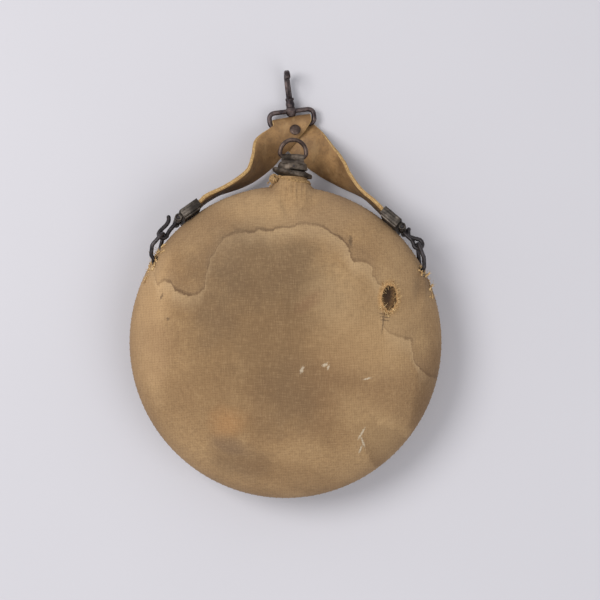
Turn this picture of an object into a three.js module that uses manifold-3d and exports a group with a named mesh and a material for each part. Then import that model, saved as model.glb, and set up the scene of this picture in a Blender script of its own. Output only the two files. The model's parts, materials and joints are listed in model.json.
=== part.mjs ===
// A round, cloth-covered field canteen with a cork stopper and a leather sling, lying on its back.
// Millimetres, +Z up out of the front cover, +Y towards the neck. The origin is the middle of the flat
// spot on the back that the canteen rests on.

import * as THREE from 'three';
import { mergeVertices } from 'three/addons/utils/BufferGeometryUtils.js';
import Module from 'manifold-3d';

const wasm = await Module();
wasm.setup();

// Driving dimensions
const COVER_RADIUS = 100; // outside of the canvas at the rim
const THICKNESS = 66; // front to back over the canvas
const FLAT_RADIUS = 28; // flat spot in the middle of each face
const GAP = 0.3; // clearance between touching pieces
const CANVAS = 1.3;
const FELT = 2.8;
const TIN = 0.8;
const SIDES = 40; // facets round the flask
const RINGS = 6; // facets from the flat spot to the rim

const BORE = 7.6; // radius inside the spout
const SPOUT = 8.3; // radius outside the spout
const SPOUT_FOOT = 88; // y of the spout's end inside the flask
const LIP_RADIUS = 13;
const LIP_TOP = 110;
const SLEEVE_TOP = 106; // y of the top of the canvas sleeve
const CAP = [[9.3, 112.4], [8.9, 114.1], [7.4, 115.4], [4.2, 116.1], [0, 116.4]]; // cap's dome, [radius, y]
const CAP_PIN = [0.8, 112.6]; // x and y of the pin in the front of the cap
const ROD_HOLE = 1.6;

const RING_BAR_Y = 118.6; // hinge of the stopper ring
const RING_WIRE = 1.3;
const RING_RADIUS = 9.8;
const RING_TOP = 131.2;
const RING_START = -14; // degrees, where the ring's bow leaves its straight side
const STAPLE_RADIUS = 2.3;
const STAPLE_HALF = 6.4;

const BRACKET = [85.3, 48.3]; // hinge of a sling loop, x and y
const LOOP_BAR = [82.6, 66.2]; // outer bar of a sling loop, where the hook hangs
const LOOP_HALF = 9; // half the loop's width along Z
const LOOP_WIRE = 1.2;

const REST_TILT = 19.5; // degrees that the sling lies back from the flask's middle plane
const STRAP_WIDTH = 25.4;
const STRAP_THICK = 2.5;
const FOLD_RADIUS = 3.2; // of the strap's middle round the bail's lower bar
const CLASP = [65.4, 15.4]; // middle of a clasp, from the sling's hinge line
const CLASP_RUN = [0.768, -0.641]; // direction of the strap's end through a clasp
const CLASP_LENGTH = 14;
const CLASP_DEPTH = 6.5;
const CLASP_WIDTH = 28.4;
const CLASP_LEAN = 10; // degrees that a clasp's top leans in towards the flask from the sling's square
const HOOK_TIP = [78.3, 11];
const HOOK_WIRE = 1.25;
const HOOK_BEND = 4.05; // centreline radius of the hook's bend round the loop bar
const HOOK_BAR = 9.4; // from the clasp's middle to the hook's cross bar

const BAIL_AT = [-1.1, 78.9]; // middle of the bail's lower bar, from the sling's hinge line
const BAIL_TURN = 10; // degrees
const BAIL_WIRE = 1.5;
const BAIL_HALF = 14.6; // centreline half width
const BAIL_HEIGHT = 9.5;
const BOSS_Y = BAIL_HEIGHT; // middle of the bail's boss
const STEM = 1.4; // radius of the snap hook's stem
const BARREL_Y = BOSS_Y + 5.4; // end of the snap hook's round head
const RIVET_AT = [0.6, 74.4];
const RIVET_HOLE = 1.8;

const MID = THICKNESS / 2;
const rad = THREE.MathUtils.degToRad;
const v2 = (x, y) => new THREE.Vector2(x, y);
const v3 = (x, y, z = 0) => new THREE.Vector3(x, y, z);

const FINISH = {
  canvas: { color: 0xb08d5f, roughness: 0.95, metalness: 0 },
  felt: { color: 0x6b6259, roughness: 1, metalness: 0 },
  tin: { color: 0x8b8a86, roughness: 0.5, metalness: 0.8 },
  lip: { color: 0x5f5d5b, roughness: 0.5, metalness: 0.8 },
  cork: { color: 0xa77b4d, roughness: 0.9, metalness: 0 },
  blackWire: { color: 0x2b2826, roughness: 0.5, metalness: 0.7 },
  blackPlate: { color: 0x33302e, roughness: 0.5, metalness: 0.6 },
  leather: { color: 0xa5743f, roughness: 0.8, metalness: 0 },
  brownIron: { color: 0x4a3a36, roughness: 0.5, metalness: 0.7 },
  twine: { color: 0xb9a271, roughness: 1, metalness: 0 },
};

// ---- solids ----

/** A geometry as a closed solid with its faces turned outwards, ready to be joined or cut. */
function solid(geometry) {
  const bare = geometry.clone();
  bare.deleteAttribute('normal');
  bare.deleteAttribute('uv');
  const welded = mergeVertices(bare, 1e-3);
  const position = welded.attributes.position;
  const corner = [v3(0, 0), v3(0, 0), v3(0, 0)];
  const triangles = [];
  let volume = 0;
  for (let i = 0; i < welded.index.count; i += 3) {
    const [a, b, c] = [0, 1, 2].map((k) => welded.index.getX(i + k));
    if (a === b || b === c || c === a) continue;
    triangles.push([a, b, c]);
    [a, b, c].forEach((v, k) => corner[k].fromBufferAttribute(position, v));
    volume += corner[0].dot(corner[1].clone().cross(corner[2]));
  }
  if (volume < 0) triangles.forEach((t) => t.reverse());
  return new wasm.Manifold(new wasm.Mesh({
    numProp: 3,
    vertProperties: new Float32Array(position.array),
    triVerts: new Uint32Array(triangles.flat()),
  }));
}

/** All the solids joined into one. */
const join = (...solids) => solids.reduce((whole, s) => whole.add(s));

/** A named mesh of a joined or cut solid. */
function piece(name, finish, manifold) {
  const { vertProperties, triVerts } = manifold.getMesh();
  const geometry = new THREE.BufferGeometry();
  geometry.setAttribute('position', new THREE.BufferAttribute(vertProperties, 3));
  geometry.setIndex(new THREE.BufferAttribute(triVerts, 1));
  geometry.computeVertexNormals();
  const mesh = new THREE.Mesh(geometry, new THREE.MeshStandardMaterial(FINISH[finish]));
  mesh.name = name;
  return mesh;
}

const box = (x, y, z, at) => solid(new THREE.BoxGeometry(x, y, z).translate(...at));

/** A solid turned about the neck's axis, from [radius, y] points that start and end on the axis. */
function turned(points, sides = 24, at = [0, 0, MID]) {
  const outline = points.map(([r, y]) => v2(r, y));
  return solid(new THREE.LatheGeometry(outline, sides).translate(...at));
}

/** A round bar between two points. */
function bar(from, to, radius, sides = 10) {
  const along = to.clone().sub(from);
  const geometry = new THREE.CylinderGeometry(radius, radius, along.length(), sides);
  geometry.applyQuaternion(new THREE.Quaternion().setFromUnitVectors(v3(0, 1), along.clone().normalize()));
  geometry.translate(...from.clone().add(to).multiplyScalar(0.5).toArray());
  return solid(geometry);
}

/** A curve that takes one equal step to each of its points, so a wire keeps its corners. */
class Course extends THREE.Curve {
  constructor(points) {
    super();
    this.points = points;
  }

  getPointAt(u) {
    const last = this.points.length - 1;
    const i = Math.min(Math.floor(u * last + 1e-6), last - 1);
    return this.points[i].clone().lerp(this.points[i + 1], u * last - i);
  }

  getTangentAt(u) {
    const last = this.points.length - 1;
    const i = Math.round(u * last);
    const before = this.points[Math.max(i - 1, 0)];
    return this.points[Math.min(i + 1, last)].clone().sub(before).normalize();
  }
}

/** Corner points with each inner corner rounded to a radius by a few steps. */
function rounded(corners, radius, steps = 3) {
  const course = [corners[0]];
  for (let i = 1; i < corners.length - 1; i++) {
    const back = corners[i - 1].clone().sub(corners[i]).normalize();
    const on = corners[i + 1].clone().sub(corners[i]).normalize();
    const half = back.angleTo(on) / 2;
    const middle = back.clone().add(on).normalize().multiplyScalar(radius / Math.sin(half)).add(corners[i]);
    const start = corners[i].clone().addScaledVector(back, radius / Math.tan(half)).sub(middle);
    const end = corners[i].clone().addScaledVector(on, radius / Math.tan(half)).sub(middle);
    const sweep = start.angleTo(end);
    for (let k = 0; k <= steps; k++) {
      const u = k / steps;
      const at = start.clone().multiplyScalar(Math.sin((1 - u) * sweep) / Math.sin(sweep));
      course.push(at.addScaledVector(end, Math.sin(u * sweep) / Math.sin(sweep)).add(middle));
    }
  }
  course.push(corners[corners.length - 1]);
  return course;
}

/** A wire of round section through a list of points. */
function wire(points, radius, sides = 8) {
  const section = Array.from({ length: sides }, (_, i) => {
    const a = (2 * Math.PI * (i + 0.5)) / sides;
    return v2(radius * Math.cos(a), radius * Math.sin(a));
  });
  return solid(new THREE.ExtrudeGeometry(new THREE.Shape(section), {
    steps: points.length - 1, extrudePath: new Course(points), bevelEnabled: false,
  }));
}

// ---- the flask: tin, felt and canvas ----

/** The lens shape of the flask, taken in by a distance all round. */
function lens(inset) {
  const radius = COVER_RADIUS - inset;
  const half = MID - inset;
  const quarter = Array.from({ length: RINGS + 1 }, (_, i) => {
    const a = (i / RINGS) * (Math.PI / 2);
    const r = FLAT_RADIUS + (radius - FLAT_RADIUS) * Math.sin(a) ** 0.91;
    return v2(r, half * Math.max(Math.cos(a), 0) ** 1.24);
  });
  quarter[RINGS].y = 0;
  const lower = quarter.map((p) => v2(p.x, -p.y));
  const outline = [v2(0, -half), ...lower, ...quarter.slice(0, -1).reverse(), v2(0, half)];
  const geometry = new THREE.LatheGeometry(outline, SIDES).rotateX(Math.PI / 2);
  return solid(geometry.translate(0, 0, MID));
}

/** The cone of cover where the body meets the neck. */
function neckCone(inset, top) {
  return turned([
    [0, 72], [16 - inset, 72], [16.2 - inset, 88], [14.6 - inset, 96], [11.8 - inset, 101],
    [10 - inset, 104], [9.9 - inset, top], [0, top],
  ]);
}

/** The front or back half of a layer, parted at the rim. */
function halfOf(layer, front) {
  const far = 2 * COVER_RADIUS + 60;
  const at = MID + (front ? 1 : -1) * (far / 2 + GAP / 2);
  return layer.intersect(box(far, far, far, [0, 0, at]));
}

/** An upright block on the rim at each sling bracket, to cut the slits with. */
function slits(width, depth) {
  const blocks = [-1, 1].map((side) => {
    const geometry = new THREE.BoxGeometry(depth, width, 2 * LOOP_HALF + 8);
    const angle = Math.atan2(BRACKET[1], BRACKET[0]);
    geometry.rotateZ(side > 0 ? angle : Math.PI - angle);
    return solid(geometry.translate(side * BRACKET[0], BRACKET[1], MID));
  });
  return join(...blocks);
}

function flaskLayers() {
  const feltOut = CANVAS + GAP;
  const tinOut = feltOut + FELT + GAP;
  const spoutHole = turned([[0, 60], [SPOUT + GAP, 60], [SPOUT + GAP, 130], [0, 130]]);
  const canvas = lens(0).add(neckCone(0, SLEEVE_TOP))
    .subtract(lens(CANVAS).add(neckCone(CANVAS, LIP_TOP + 10))).subtract(slits(9.6, 24));
  const felt = lens(feltOut).add(neckCone(feltOut, 100.5))
    .subtract(lens(tinOut - GAP).add(spoutHole)).subtract(slits(16, 24));
  const tin = lens(tinOut).subtract(lens(tinOut + TIN).add(spoutHole));
  return [
    piece('tin_front_shell', 'tin', halfOf(tin, true)),
    piece('tin_back_shell', 'tin', halfOf(tin, false)),
    piece('felt_front', 'felt', halfOf(felt, true)),
    piece('felt_back', 'felt', halfOf(felt, false)),
    piece('canvas_front', 'canvas', halfOf(canvas, true)),
    piece('canvas_back', 'canvas', halfOf(canvas, false)),
  ];
}

function neckTube() {
  return piece('neck_tube', 'lip', turned([
    [0, SPOUT_FOOT], [SPOUT, SPOUT_FOOT], [SPOUT, 106], [11.4, 106.6], [12.6, 107.2], [LIP_RADIUS, 108.3],
    [12.6, 109.4], [11.6, LIP_TOP], [0, LIP_TOP],
  ]).subtract(turned([[0, 60], [BORE, 60], [BORE, 130], [0, 130]])));
}

function neckTwine() {
  const lashing = new THREE.TorusGeometry(11.3, 1, 8, 24).rotateX(Math.PI / 2).translate(0, 104.2, MID);
  const knot = new THREE.SphereGeometry(2.6, 10, 8).scale(1, 1.3, 1).translate(-11.9, 103.6, MID + 4.2);
  return piece('neck_twine', 'twine', solid(lashing).add(solid(knot)).subtract(neckCone(-GAP, 130)));
}

/** The knuckle and plate on the flask's rim that a sling loop turns in. */
function slingBracket(name, side) {
  const angle = Math.atan2(BRACKET[1], BRACKET[0]);
  const knuckle = new THREE.CylinderGeometry(2.5, 2.5, 11, 12).rotateX(Math.PI / 2);
  const bore = new THREE.CylinderGeometry(LOOP_WIRE + GAP, LOOP_WIRE + GAP, 20, 12).rotateX(Math.PI / 2);
  const plate = new THREE.BoxGeometry(0.9, 14, 9).translate(-1.85, 0, 0);
  const body = solid(knuckle).add(solid(plate)).subtract(solid(bore));
  const mesh = piece(name, 'blackPlate', body);
  mesh.position.set(side * BRACKET[0], BRACKET[1], MID);
  mesh.rotation.z = side > 0 ? angle : Math.PI - angle;
  return mesh;
}

/** A four-sided wire loop that turns in its bracket and holds a hook on its outer bar. */
function slingLoop(name, side) {
  const [ax, ay] = [side * BRACKET[0], BRACKET[1]];
  const [bx, by] = [side * LOOP_BAR[0], LOOP_BAR[1]];
  const at = (x, y, z) => v3(x, y, MID + z * LOOP_HALF);
  const bow = rounded([at(ax, ay, -1), at(bx, by, -1), at(bx, by, 1), at(ax, ay, 1)], 2.4);
  const pivot = bar(at(ax, ay, -1.12), at(ax, ay, 1.12), LOOP_WIRE);
  return piece(name, 'blackWire', wire(bow, LOOP_WIRE).add(pivot));
}

// ---- the stopper ----

function stopperCork() {
  return piece('stopper_cork', 'cork', turned([
    [0, 93], [6.6, 93], [7.2, 95], [7.3, LIP_TOP - 0.5], [0, LIP_TOP - 0.5],
  ]).subtract(rodHole(LIP_TOP + 10)));
}

/** The hole for the stopper's rod, up to a height. */
function rodHole(top) {
  return turned([[0, SPOUT_FOOT - 8], [ROD_HOLE, SPOUT_FOOT - 8], [ROD_HOLE, top], [0, top]], 12);
}

/** A solid with the cap's outline, grown by a distance, down to a height. */
function capDome(grow, foot) {
  const outline = CAP.map(([r, y]) => [r > 0 ? r + grow : 0, y + grow]);
  return turned([[0, foot], [CAP[0][0] + grow, foot], ...outline]);
}

/** A bar along Z in the front of the cap. */
function capPinBar(from, to, radius) {
  return bar(v3(...CAP_PIN, MID + from), v3(...CAP_PIN, MID + to), radius, 8);
}

/** A bar along X on the stopper ring's hinge. */
function ringBar(half, radius) {
  return bar(v3(-half, RING_BAR_Y, MID), v3(half, RING_BAR_Y, MID), radius, 12);
}

function stopperCap() {
  const top = CAP[CAP.length - 1][1];
  const body = capDome(0, LIP_TOP + GAP).subtract(rodHole(top - 0.8)).subtract(capPinBar(7, 12, 0.9));
  return piece('stopper_cap', 'lip', body);
}

/** The rolled band across the cap that the ring's straight side turns in. */
function ringStaple() {
  const foot = box(2 * STAPLE_HALF, 3.4, 2 * STAPLE_RADIUS, [0, RING_BAR_Y - 1.7, MID]);
  const body = ringBar(STAPLE_HALF, STAPLE_RADIUS).add(foot).subtract(ringBar(9, RING_WIRE + GAP));
  return piece('ring_staple', 'lip', body.subtract(capDome(GAP, SLEEVE_TOP)));
}

function stopperRod() {
  const top = CAP[CAP.length - 1][1] - 1.2;
  return piece('stopper_rod', 'blackWire', turned([
    [0, 89.4], [2.6, 89.4], [2.6, 91], [1.2, 91.1], [1.2, top], [0, top],
  ], 12));
}

function stopperWasher() {
  return piece('stopper_washer', 'tin', turned([[0, 91.4], [6.2, 91.4], [6.2, 92.6], [0, 92.6]], 16)
    .subtract(rodHole(LIP_TOP)));
}

function capPin() {
  return piece('cap_pin', 'blackWire', capPinBar(7.3, 9.9, 0.6));
}

/** A bowed wire ring on a straight bar through the staple. */
function stopperRing() {
  const centre = RING_TOP - RING_RADIUS;
  const bend = RING_RADIUS - RING_WIRE;
  const arc = Array.from({ length: 13 }, (_, i) => {
    const a = rad(RING_START + ((180 - 2 * RING_START) * i) / 12);
    return v3(bend * Math.cos(a), centre + bend * Math.sin(a), MID);
  });
  return piece('stopper_ring', 'brownIron', wire(arc, RING_WIRE).add(ringBar(arc[0].x, RING_WIRE)));
}

// ---- the sling, in its own frame: x across, y up the sling from the hook bars, z to its front ----

/**
 * Stations of the strap from the bail down one leg to its clasp: the middle of the strap, the angle of its
 * width in the sling's plane, and its twist, which takes the edge next to the neck towards the back.
 */
const LEFT_LEG = [
  { at: [-1.1, 78.9, 3.2], turn: BAIL_TURN, twist: 0 },
  { at: [-3.4, 74.4, 2.4], turn: 4, twist: 3 },
  { at: [-11.6, 69.6, 1.8], turn: -8, twist: 12 },
  { at: [-20.2, 61.6, 1.2], turn: -8, twist: 44 },
  { at: [-22.6, 51.3, 0.6], turn: -6, twist: 58 },
  { at: [-31, 40.1, 0], turn: -30, twist: 82 },
  { at: [-45.8, 31.4, 0], turn: -50, twist: 98 },
  { at: [-55.3, 25, 0], turn: -50, twist: 100 },
];
const RIGHT_LEG = [
  { at: [-1.1, 78.9, -3.2], turn: BAIL_TURN, twist: 0 },
  { at: [3.6, 74.8, -2.4], turn: 18, twist: 3 },
  { at: [14.2, 71, -1.8], turn: 30, twist: 16 },
  { at: [20.2, 62.6, -1.2], turn: 38, twist: 42 },
  { at: [25.4, 52.6, -0.6], turn: 20, twist: 54 },
  { at: [37, 41.2, 0], turn: 38, twist: 80 },
  { at: [46.4, 33, 0], turn: 50, twist: 98 },
  { at: [55.3, 25, 0], turn: 50, twist: 100 },
];

/** A leg's stations as points with the direction of the strap's width, left edge to right edge. */
function legStations(leg, side) {
  const list = leg.map(({ at, turn, twist }) => {
    const flat = Math.cos(rad(twist));
    const rise = side * Math.sin(rad(twist));
    return { at: v3(...at), width: v3(flat * Math.cos(rad(turn)), flat * Math.sin(rad(turn)), rise) };
  });
  for (const along of [-CLASP_LENGTH / 2, 2]) {
    const at = v3(side * (CLASP[0] + along * CLASP_RUN[0]), CLASP[1] + along * CLASP_RUN[1]);
    list.push({ at, width: claspUp(side).multiplyScalar(side) });
  }
  return list;
}

/** The strap's stations from the left clasp, up round the bail and down to the right clasp. */
function strapStations() {
  const legs = [[LEFT_LEG, -1], [RIGHT_LEG, 1]].map(([leg, side]) => {
    const stations = legStations(leg, side);
    const path = new THREE.CatmullRomCurve3(stations.map((s) => s.at), false, 'centripetal');
    const steps = 2 * (stations.length - 1);
    return Array.from({ length: steps + 1 }, (_, i) => {
      const k = Math.min(Math.floor(i / 2), stations.length - 2);
      const u = i / 2 - k;
      const width = stations[k].width.clone().lerp(stations[k + 1].width, u).normalize();
      return { at: path.getPoint(i / steps), width };
    });
  });
  const over = v3(-Math.sin(rad(BAIL_TURN)), Math.cos(rad(BAIL_TURN)));
  const fold = [36, 72, 108, 144].map((a) => {
    const at = v3(...BAIL_AT).addScaledVector(over, FOLD_RADIUS * Math.sin(rad(a)));
    at.z = FOLD_RADIUS * Math.cos(rad(a));
    return { at, width: v3(Math.cos(rad(BAIL_TURN)), Math.sin(rad(BAIL_TURN))) };
  });
  return [...legs[0].reverse(), ...fold, ...legs[1]];
}

/** A flat strap of constant width and thickness through its stations. */
function strap() {
  const stations = strapStations();
  const last = stations.length - 1;
  const geometry = new THREE.BoxGeometry(STRAP_WIDTH, STRAP_THICK, 1, 1, 1, last);
  const position = geometry.attributes.position;
  const normals = stations.map(({ width }, i) => {
    const before = stations[Math.max(i - 1, 0)].at;
    const run = stations[Math.min(i + 1, last)].at.clone().sub(before);
    return run.cross(width).normalize();
  });
  for (let i = 0; i < position.count; i++) {
    const k = Math.round((position.getZ(i) + 0.5) * last);
    const at = stations[k].at.clone().addScaledVector(stations[k].width, position.getX(i));
    at.addScaledVector(normals[k], position.getY(i));
    position.setXYZ(i, at.x, at.y, at.z);
  }
  return piece('strap', 'leather', solid(geometry).subtract(rivetHole()));
}

function rivetHole() {
  return bar(v3(...RIVET_AT, -12), v3(...RIVET_AT, 12), RIVET_HOLE, 12);
}

/** The rivet through both legs, with a domed head in front, and the burr behind it. */
function strapRivet() {
  const profile = [[0, -5.4], [1.5, -5.4], [1.5, 4.6], [3.4, 4.6], [3.4, 5.1], [2.2, 5.8], [0, 6]];
  const outline = profile.map(([r, y]) => v2(r, y));
  const geometry = new THREE.LatheGeometry(outline, 12).rotateX(Math.PI / 2);
  return piece('strap_rivet', 'brownIron', solid(geometry.translate(...RIVET_AT, 0)));
}

function rivetBurr() {
  const ring = new THREE.CylinderGeometry(3, 3, 0.8, 14).rotateX(Math.PI / 2).translate(...RIVET_AT, -5);
  return piece('strap_rivet_burr', 'brownIron', solid(ring).subtract(rivetHole()));
}

/** A frame at a clasp: x along the strap's end towards the hook, z up its width, y away from the right of it. */
function claspFrame(side) {
  const group = new THREE.Group();
  group.position.set(side * CLASP[0], CLASP[1], 0);
  group.rotation.z = Math.atan2(CLASP_RUN[1], side * CLASP_RUN[0]);
  group.rotateX(side * rad(CLASP_LEAN));
  return group;
}

/** The direction up a clasp's width. */
const claspUp = (side) => v3(0, 0, 1).applyQuaternion(claspFrame(side).quaternion);

/** A flat sheet sleeve on the strap's end, ribbed on its outside, with two knuckles for the hook's cross bar. */
function clasp(name, side) {
  const half = CLASP_LENGTH / 2;
  const outside = side * (CLASP_DEPTH / 2 + 0.2);
  const sleeve = box(CLASP_LENGTH, CLASP_DEPTH, CLASP_WIDTH, [0, 0, 0]);
  const pocket = box(CLASP_LENGTH, 3.5, 26.1, [-1.2, 0, 0]);
  const knuckles = [-1, 1].map((end) => bar(v3(HOOK_BAR, 0, end * 3), v3(HOOK_BAR, 0, end * 11), 2.7, 12)
    .add(box(4, 3.4, 8, [half + 0.6, 0, end * 7])));
  const bore = bar(v3(HOOK_BAR, 0, -16), v3(HOOK_BAR, 0, 16), HOOK_WIRE + GAP, 12);
  const ribs = [-1, 0, 1].map((k) => box(1.6, 0.6, CLASP_WIDTH - 4, [4 * k, outside, 0]));
  return piece(name, 'blackPlate', join(sleeve, ...ribs, ...knuckles).subtract(pocket).subtract(bore));
}

/** A wire hook: a cross bar in the clasp's knuckles, a shank, and a bend open at the top. */
function hook(name, side) {
  const centre = v3(side * LOOP_BAR[0], 0);
  const cross = v3(side * (CLASP[0] + HOOK_BAR * CLASP_RUN[0]), CLASP[1] + HOOK_BAR * CLASP_RUN[1]);
  const tip = v3(side * HOOK_TIP[0], HOOK_TIP[1]);
  const tangent = (point, turn) => {
    const away = point.clone().sub(centre);
    return Math.atan2(away.y, side * away.x) + turn * Math.acos(HOOK_BEND / away.length());
  };
  const start = tangent(cross, 1);
  const end = tangent(tip, -1) + 2 * Math.PI;
  const bend = Array.from({ length: 10 }, (_, i) => {
    const a = start + ((end - start) * i) / 9;
    return v3(centre.x + side * HOOK_BEND * Math.cos(a), HOOK_BEND * Math.sin(a));
  });
  const half = claspUp(side).multiplyScalar(10.6);
  const crossBar = bar(cross.clone().sub(half), cross.clone().add(half), HOOK_WIRE);
  return piece(name, 'blackWire', wire([cross, ...bend, tip], HOOK_WIRE).add(crossBar));
}

/** The bar inside a clasp that bites on the strap. */
function claspBar(name) {
  return piece(name, 'blackWire', bar(v3(4.6, 0, -12), v3(4.6, 0, 12), 1, 8));
}

// ---- the bail and its snap hook: x along the bail's bar, y out to the hook, z to the front ----

function swivelBail() {
  const corners = [
    v3(-BAIL_HALF, 0), v3(-BAIL_HALF, BAIL_HEIGHT), v3(BAIL_HALF, BAIL_HEIGHT), v3(BAIL_HALF, 0),
  ];
  const bow = wire(rounded(corners, 4), BAIL_WIRE);
  const lower = bar(v3(-BAIL_HALF - 1.4, 0), v3(BAIL_HALF + 1.4, 0), BAIL_WIRE);
  const boss = bar(v3(0, BOSS_Y - 1.8), v3(0, BOSS_Y + 1.8), 3.2, 14);
  const bore = bar(v3(0, 2), v3(0, 30), STEM + GAP, 12);
  return piece('swivel_bail', 'brownIron', join(bow, lower, boss).subtract(bore));
}

/** A snap hook standing on its edge: stem and head through the bail's boss, flat hook, nose to the front. */
function snapHook() {
  const head = turned([
    [0, BOSS_Y - 3.8], [2, BOSS_Y - 3.6], [2.6, BOSS_Y - 2.9], [2.6, BOSS_Y - 2.1], [STEM, BOSS_Y - 2.1],
    [STEM, BOSS_Y + 2.2], [2.7, BOSS_Y + 2.2], [2.7, BARREL_Y], [2, BARREL_Y + 1.4], [0, BARREL_Y + 1.4],
  ], 14, [0, 0, 0]);
  const outline = new THREE.Shape();
  outline.moveTo(BARREL_Y - 1, -2.4);
  outline.lineTo(BARREL_Y + 14, -2.4);
  outline.bezierCurveTo(BARREL_Y + 22.5, -2.4, BARREL_Y + 23, 13.4, BARREL_Y + 15.6, 13.4);
  outline.lineTo(BARREL_Y + 14.8, 10.2);
  outline.bezierCurveTo(BARREL_Y + 19, 9.8, BARREL_Y + 18.6, 0.9, BARREL_Y + 13.6, 0.9);
  outline.lineTo(BARREL_Y + 5, 0.9);
  outline.lineTo(BARREL_Y + 3.4, 2.4);
  outline.lineTo(BARREL_Y - 1, 2.4);
  const plate = new THREE.ExtrudeGeometry(outline, { depth: 3.6, bevelEnabled: false, curveSegments: 6 });
  plate.translate(0, 0, -1.8);
  plate.applyMatrix4(new THREE.Matrix4().makeBasis(v3(0, 1), v3(0, 0, 1), v3(1, 0)));
  const slot = box(2, 6, 8.2, [0, BARREL_Y + 2.2, 3.2]);
  const pin = bar(v3(-6, BARREL_Y + 2.2, 1.2), v3(6, BARREL_Y + 2.2, 1.2), 0.85, 10);
  return piece('snap_hook', 'brownIron', join(head, solid(plate)).subtract(slot).subtract(pin));
}

/** The spring tongue that closes the hook, turning on its rivet. */
function snapGate() {
  const from = v3(0, BARREL_Y + 2.2, 1.2);
  const to = v3(0, BARREL_Y + 14, 10.6);
  const tongue = new THREE.BoxGeometry(1.4, to.distanceTo(from), 1.2);
  tongue.translate(0, to.distanceTo(from) / 2, 0);
  tongue.rotateX(Math.atan2(to.z - from.z, to.y - from.y)).translate(...from.toArray());
  const eye = bar(from.clone().setX(-0.7), from.clone().setX(0.7), 1.7, 12);
  const bore = bar(from.clone().setX(-6), from.clone().setX(6), 0.9, 10);
  return piece('snap_gate', 'brownIron', solid(tongue).add(eye).subtract(bore));
}

function gateRivet() {
  const [y, z] = [BARREL_Y + 2.2, 1.2];
  return piece('gate_rivet', 'brownIron', bar(v3(-2.6, y, z), v3(2.6, y, z), 0.55, 10));
}

function sling() {
  const lying = new THREE.Group();
  lying.position.set(0, LOOP_BAR[1], MID);
  lying.rotation.x = -rad(REST_TILT);
  lying.add(strap(), strapRivet(), rivetBurr());
  for (const [label, side] of [['left', -1], ['right', 1]]) {
    const frame = claspFrame(side);
    frame.add(clasp(`${label}_clasp`, side), claspBar(`${label}_clasp_bar`));
    lying.add(frame, hook(`${label}_hook`, side));
  }
  const bail = new THREE.Group();
  bail.position.set(...BAIL_AT, 0);
  bail.rotation.set(0, 0, rad(BAIL_TURN));
  const level = new THREE.Group();
  level.rotation.x = rad(REST_TILT);
  level.add(swivelBail(), snapHook(), snapGate(), gateRivet());
  bail.add(level);
  lying.add(bail);
  return lying;
}

const canteen = new THREE.Group();
canteen.add(
  ...flaskLayers(), neckTube(), neckTwine(),
  stopperCork(), stopperCap(), ringStaple(), stopperRod(), stopperWasher(), capPin(), stopperRing(),
  sling(),
);
for (const [label, side] of [['left', -1], ['right', 1]]) {
  canteen.add(slingBracket(`${label}_bracket`, side), slingLoop(`${label}_loop`, side));
}

export default canteen;
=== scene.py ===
"""A worn, cloth-covered field canteen with a leather sling, lying on its back on a pale floor.

Shapes are worked out in millimetres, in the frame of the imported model, and stored in metres.
"""

import json
import math
import random

import bmesh
import bpy
from mathutils import Matrix, Vector, noise


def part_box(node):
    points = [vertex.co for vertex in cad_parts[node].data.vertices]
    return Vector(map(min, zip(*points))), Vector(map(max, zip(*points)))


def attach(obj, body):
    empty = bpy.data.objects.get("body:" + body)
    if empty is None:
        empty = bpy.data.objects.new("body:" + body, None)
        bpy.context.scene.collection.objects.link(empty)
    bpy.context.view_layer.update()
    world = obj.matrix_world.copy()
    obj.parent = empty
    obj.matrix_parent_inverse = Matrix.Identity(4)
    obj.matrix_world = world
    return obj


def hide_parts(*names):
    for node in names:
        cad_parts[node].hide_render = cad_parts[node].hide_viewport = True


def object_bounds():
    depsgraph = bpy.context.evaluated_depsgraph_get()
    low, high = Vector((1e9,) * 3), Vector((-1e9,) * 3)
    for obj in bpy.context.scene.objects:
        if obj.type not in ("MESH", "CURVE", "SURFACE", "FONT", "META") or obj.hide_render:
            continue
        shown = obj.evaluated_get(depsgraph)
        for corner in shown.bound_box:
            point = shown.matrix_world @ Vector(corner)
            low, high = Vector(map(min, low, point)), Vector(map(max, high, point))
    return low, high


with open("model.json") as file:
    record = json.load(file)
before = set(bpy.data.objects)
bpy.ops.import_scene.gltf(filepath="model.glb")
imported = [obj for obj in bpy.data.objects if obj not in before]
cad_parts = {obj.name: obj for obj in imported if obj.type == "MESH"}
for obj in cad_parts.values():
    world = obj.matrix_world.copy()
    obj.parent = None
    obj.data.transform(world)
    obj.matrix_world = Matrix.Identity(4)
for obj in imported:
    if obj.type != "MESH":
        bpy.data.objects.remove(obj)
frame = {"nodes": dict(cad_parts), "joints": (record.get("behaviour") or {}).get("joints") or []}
CAD_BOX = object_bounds()
MM = 0.001
FULL_TURN = 2 * math.pi
QUARTER = Matrix.Rotation(math.pi / 2, 4, "X")  # turns Y to Z

# ---- places and sizes, in millimetres ----

COVER = [[c / MM for c in corner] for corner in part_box("canvas_front")]
RING_WIRE = 1.35  # half the gauge of the pull ring's wire
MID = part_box("stopper_ring")[0][2] / MM + 1.3  # height of the flask's middle plane
RIM = COVER[1][0]  # radius of the covered flask
HALF = COVER[1][2] - MID  # half its thickness
FLAT = 28  # radius of the flat spot in the middle of each face
SLEEVE_TOP = COVER[1][1]
SLEEVE_RADIUS = 9.9
CLOTH = 1.1  # the canvas and its nap
CLOTH_SKIN = 0.12  # how far the cloth's outer face stands off the lens shape
SLIT_HALF = 3.4  # half the width of the slits for the sling loops
SLIT_FROM = 97.2  # how far out they start

JOINTS = {j["name"]: j for j in frame["joints"]}


def joint_place(name):
    return Vector(JOINTS[name]["pos_m"]) / MM


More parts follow.
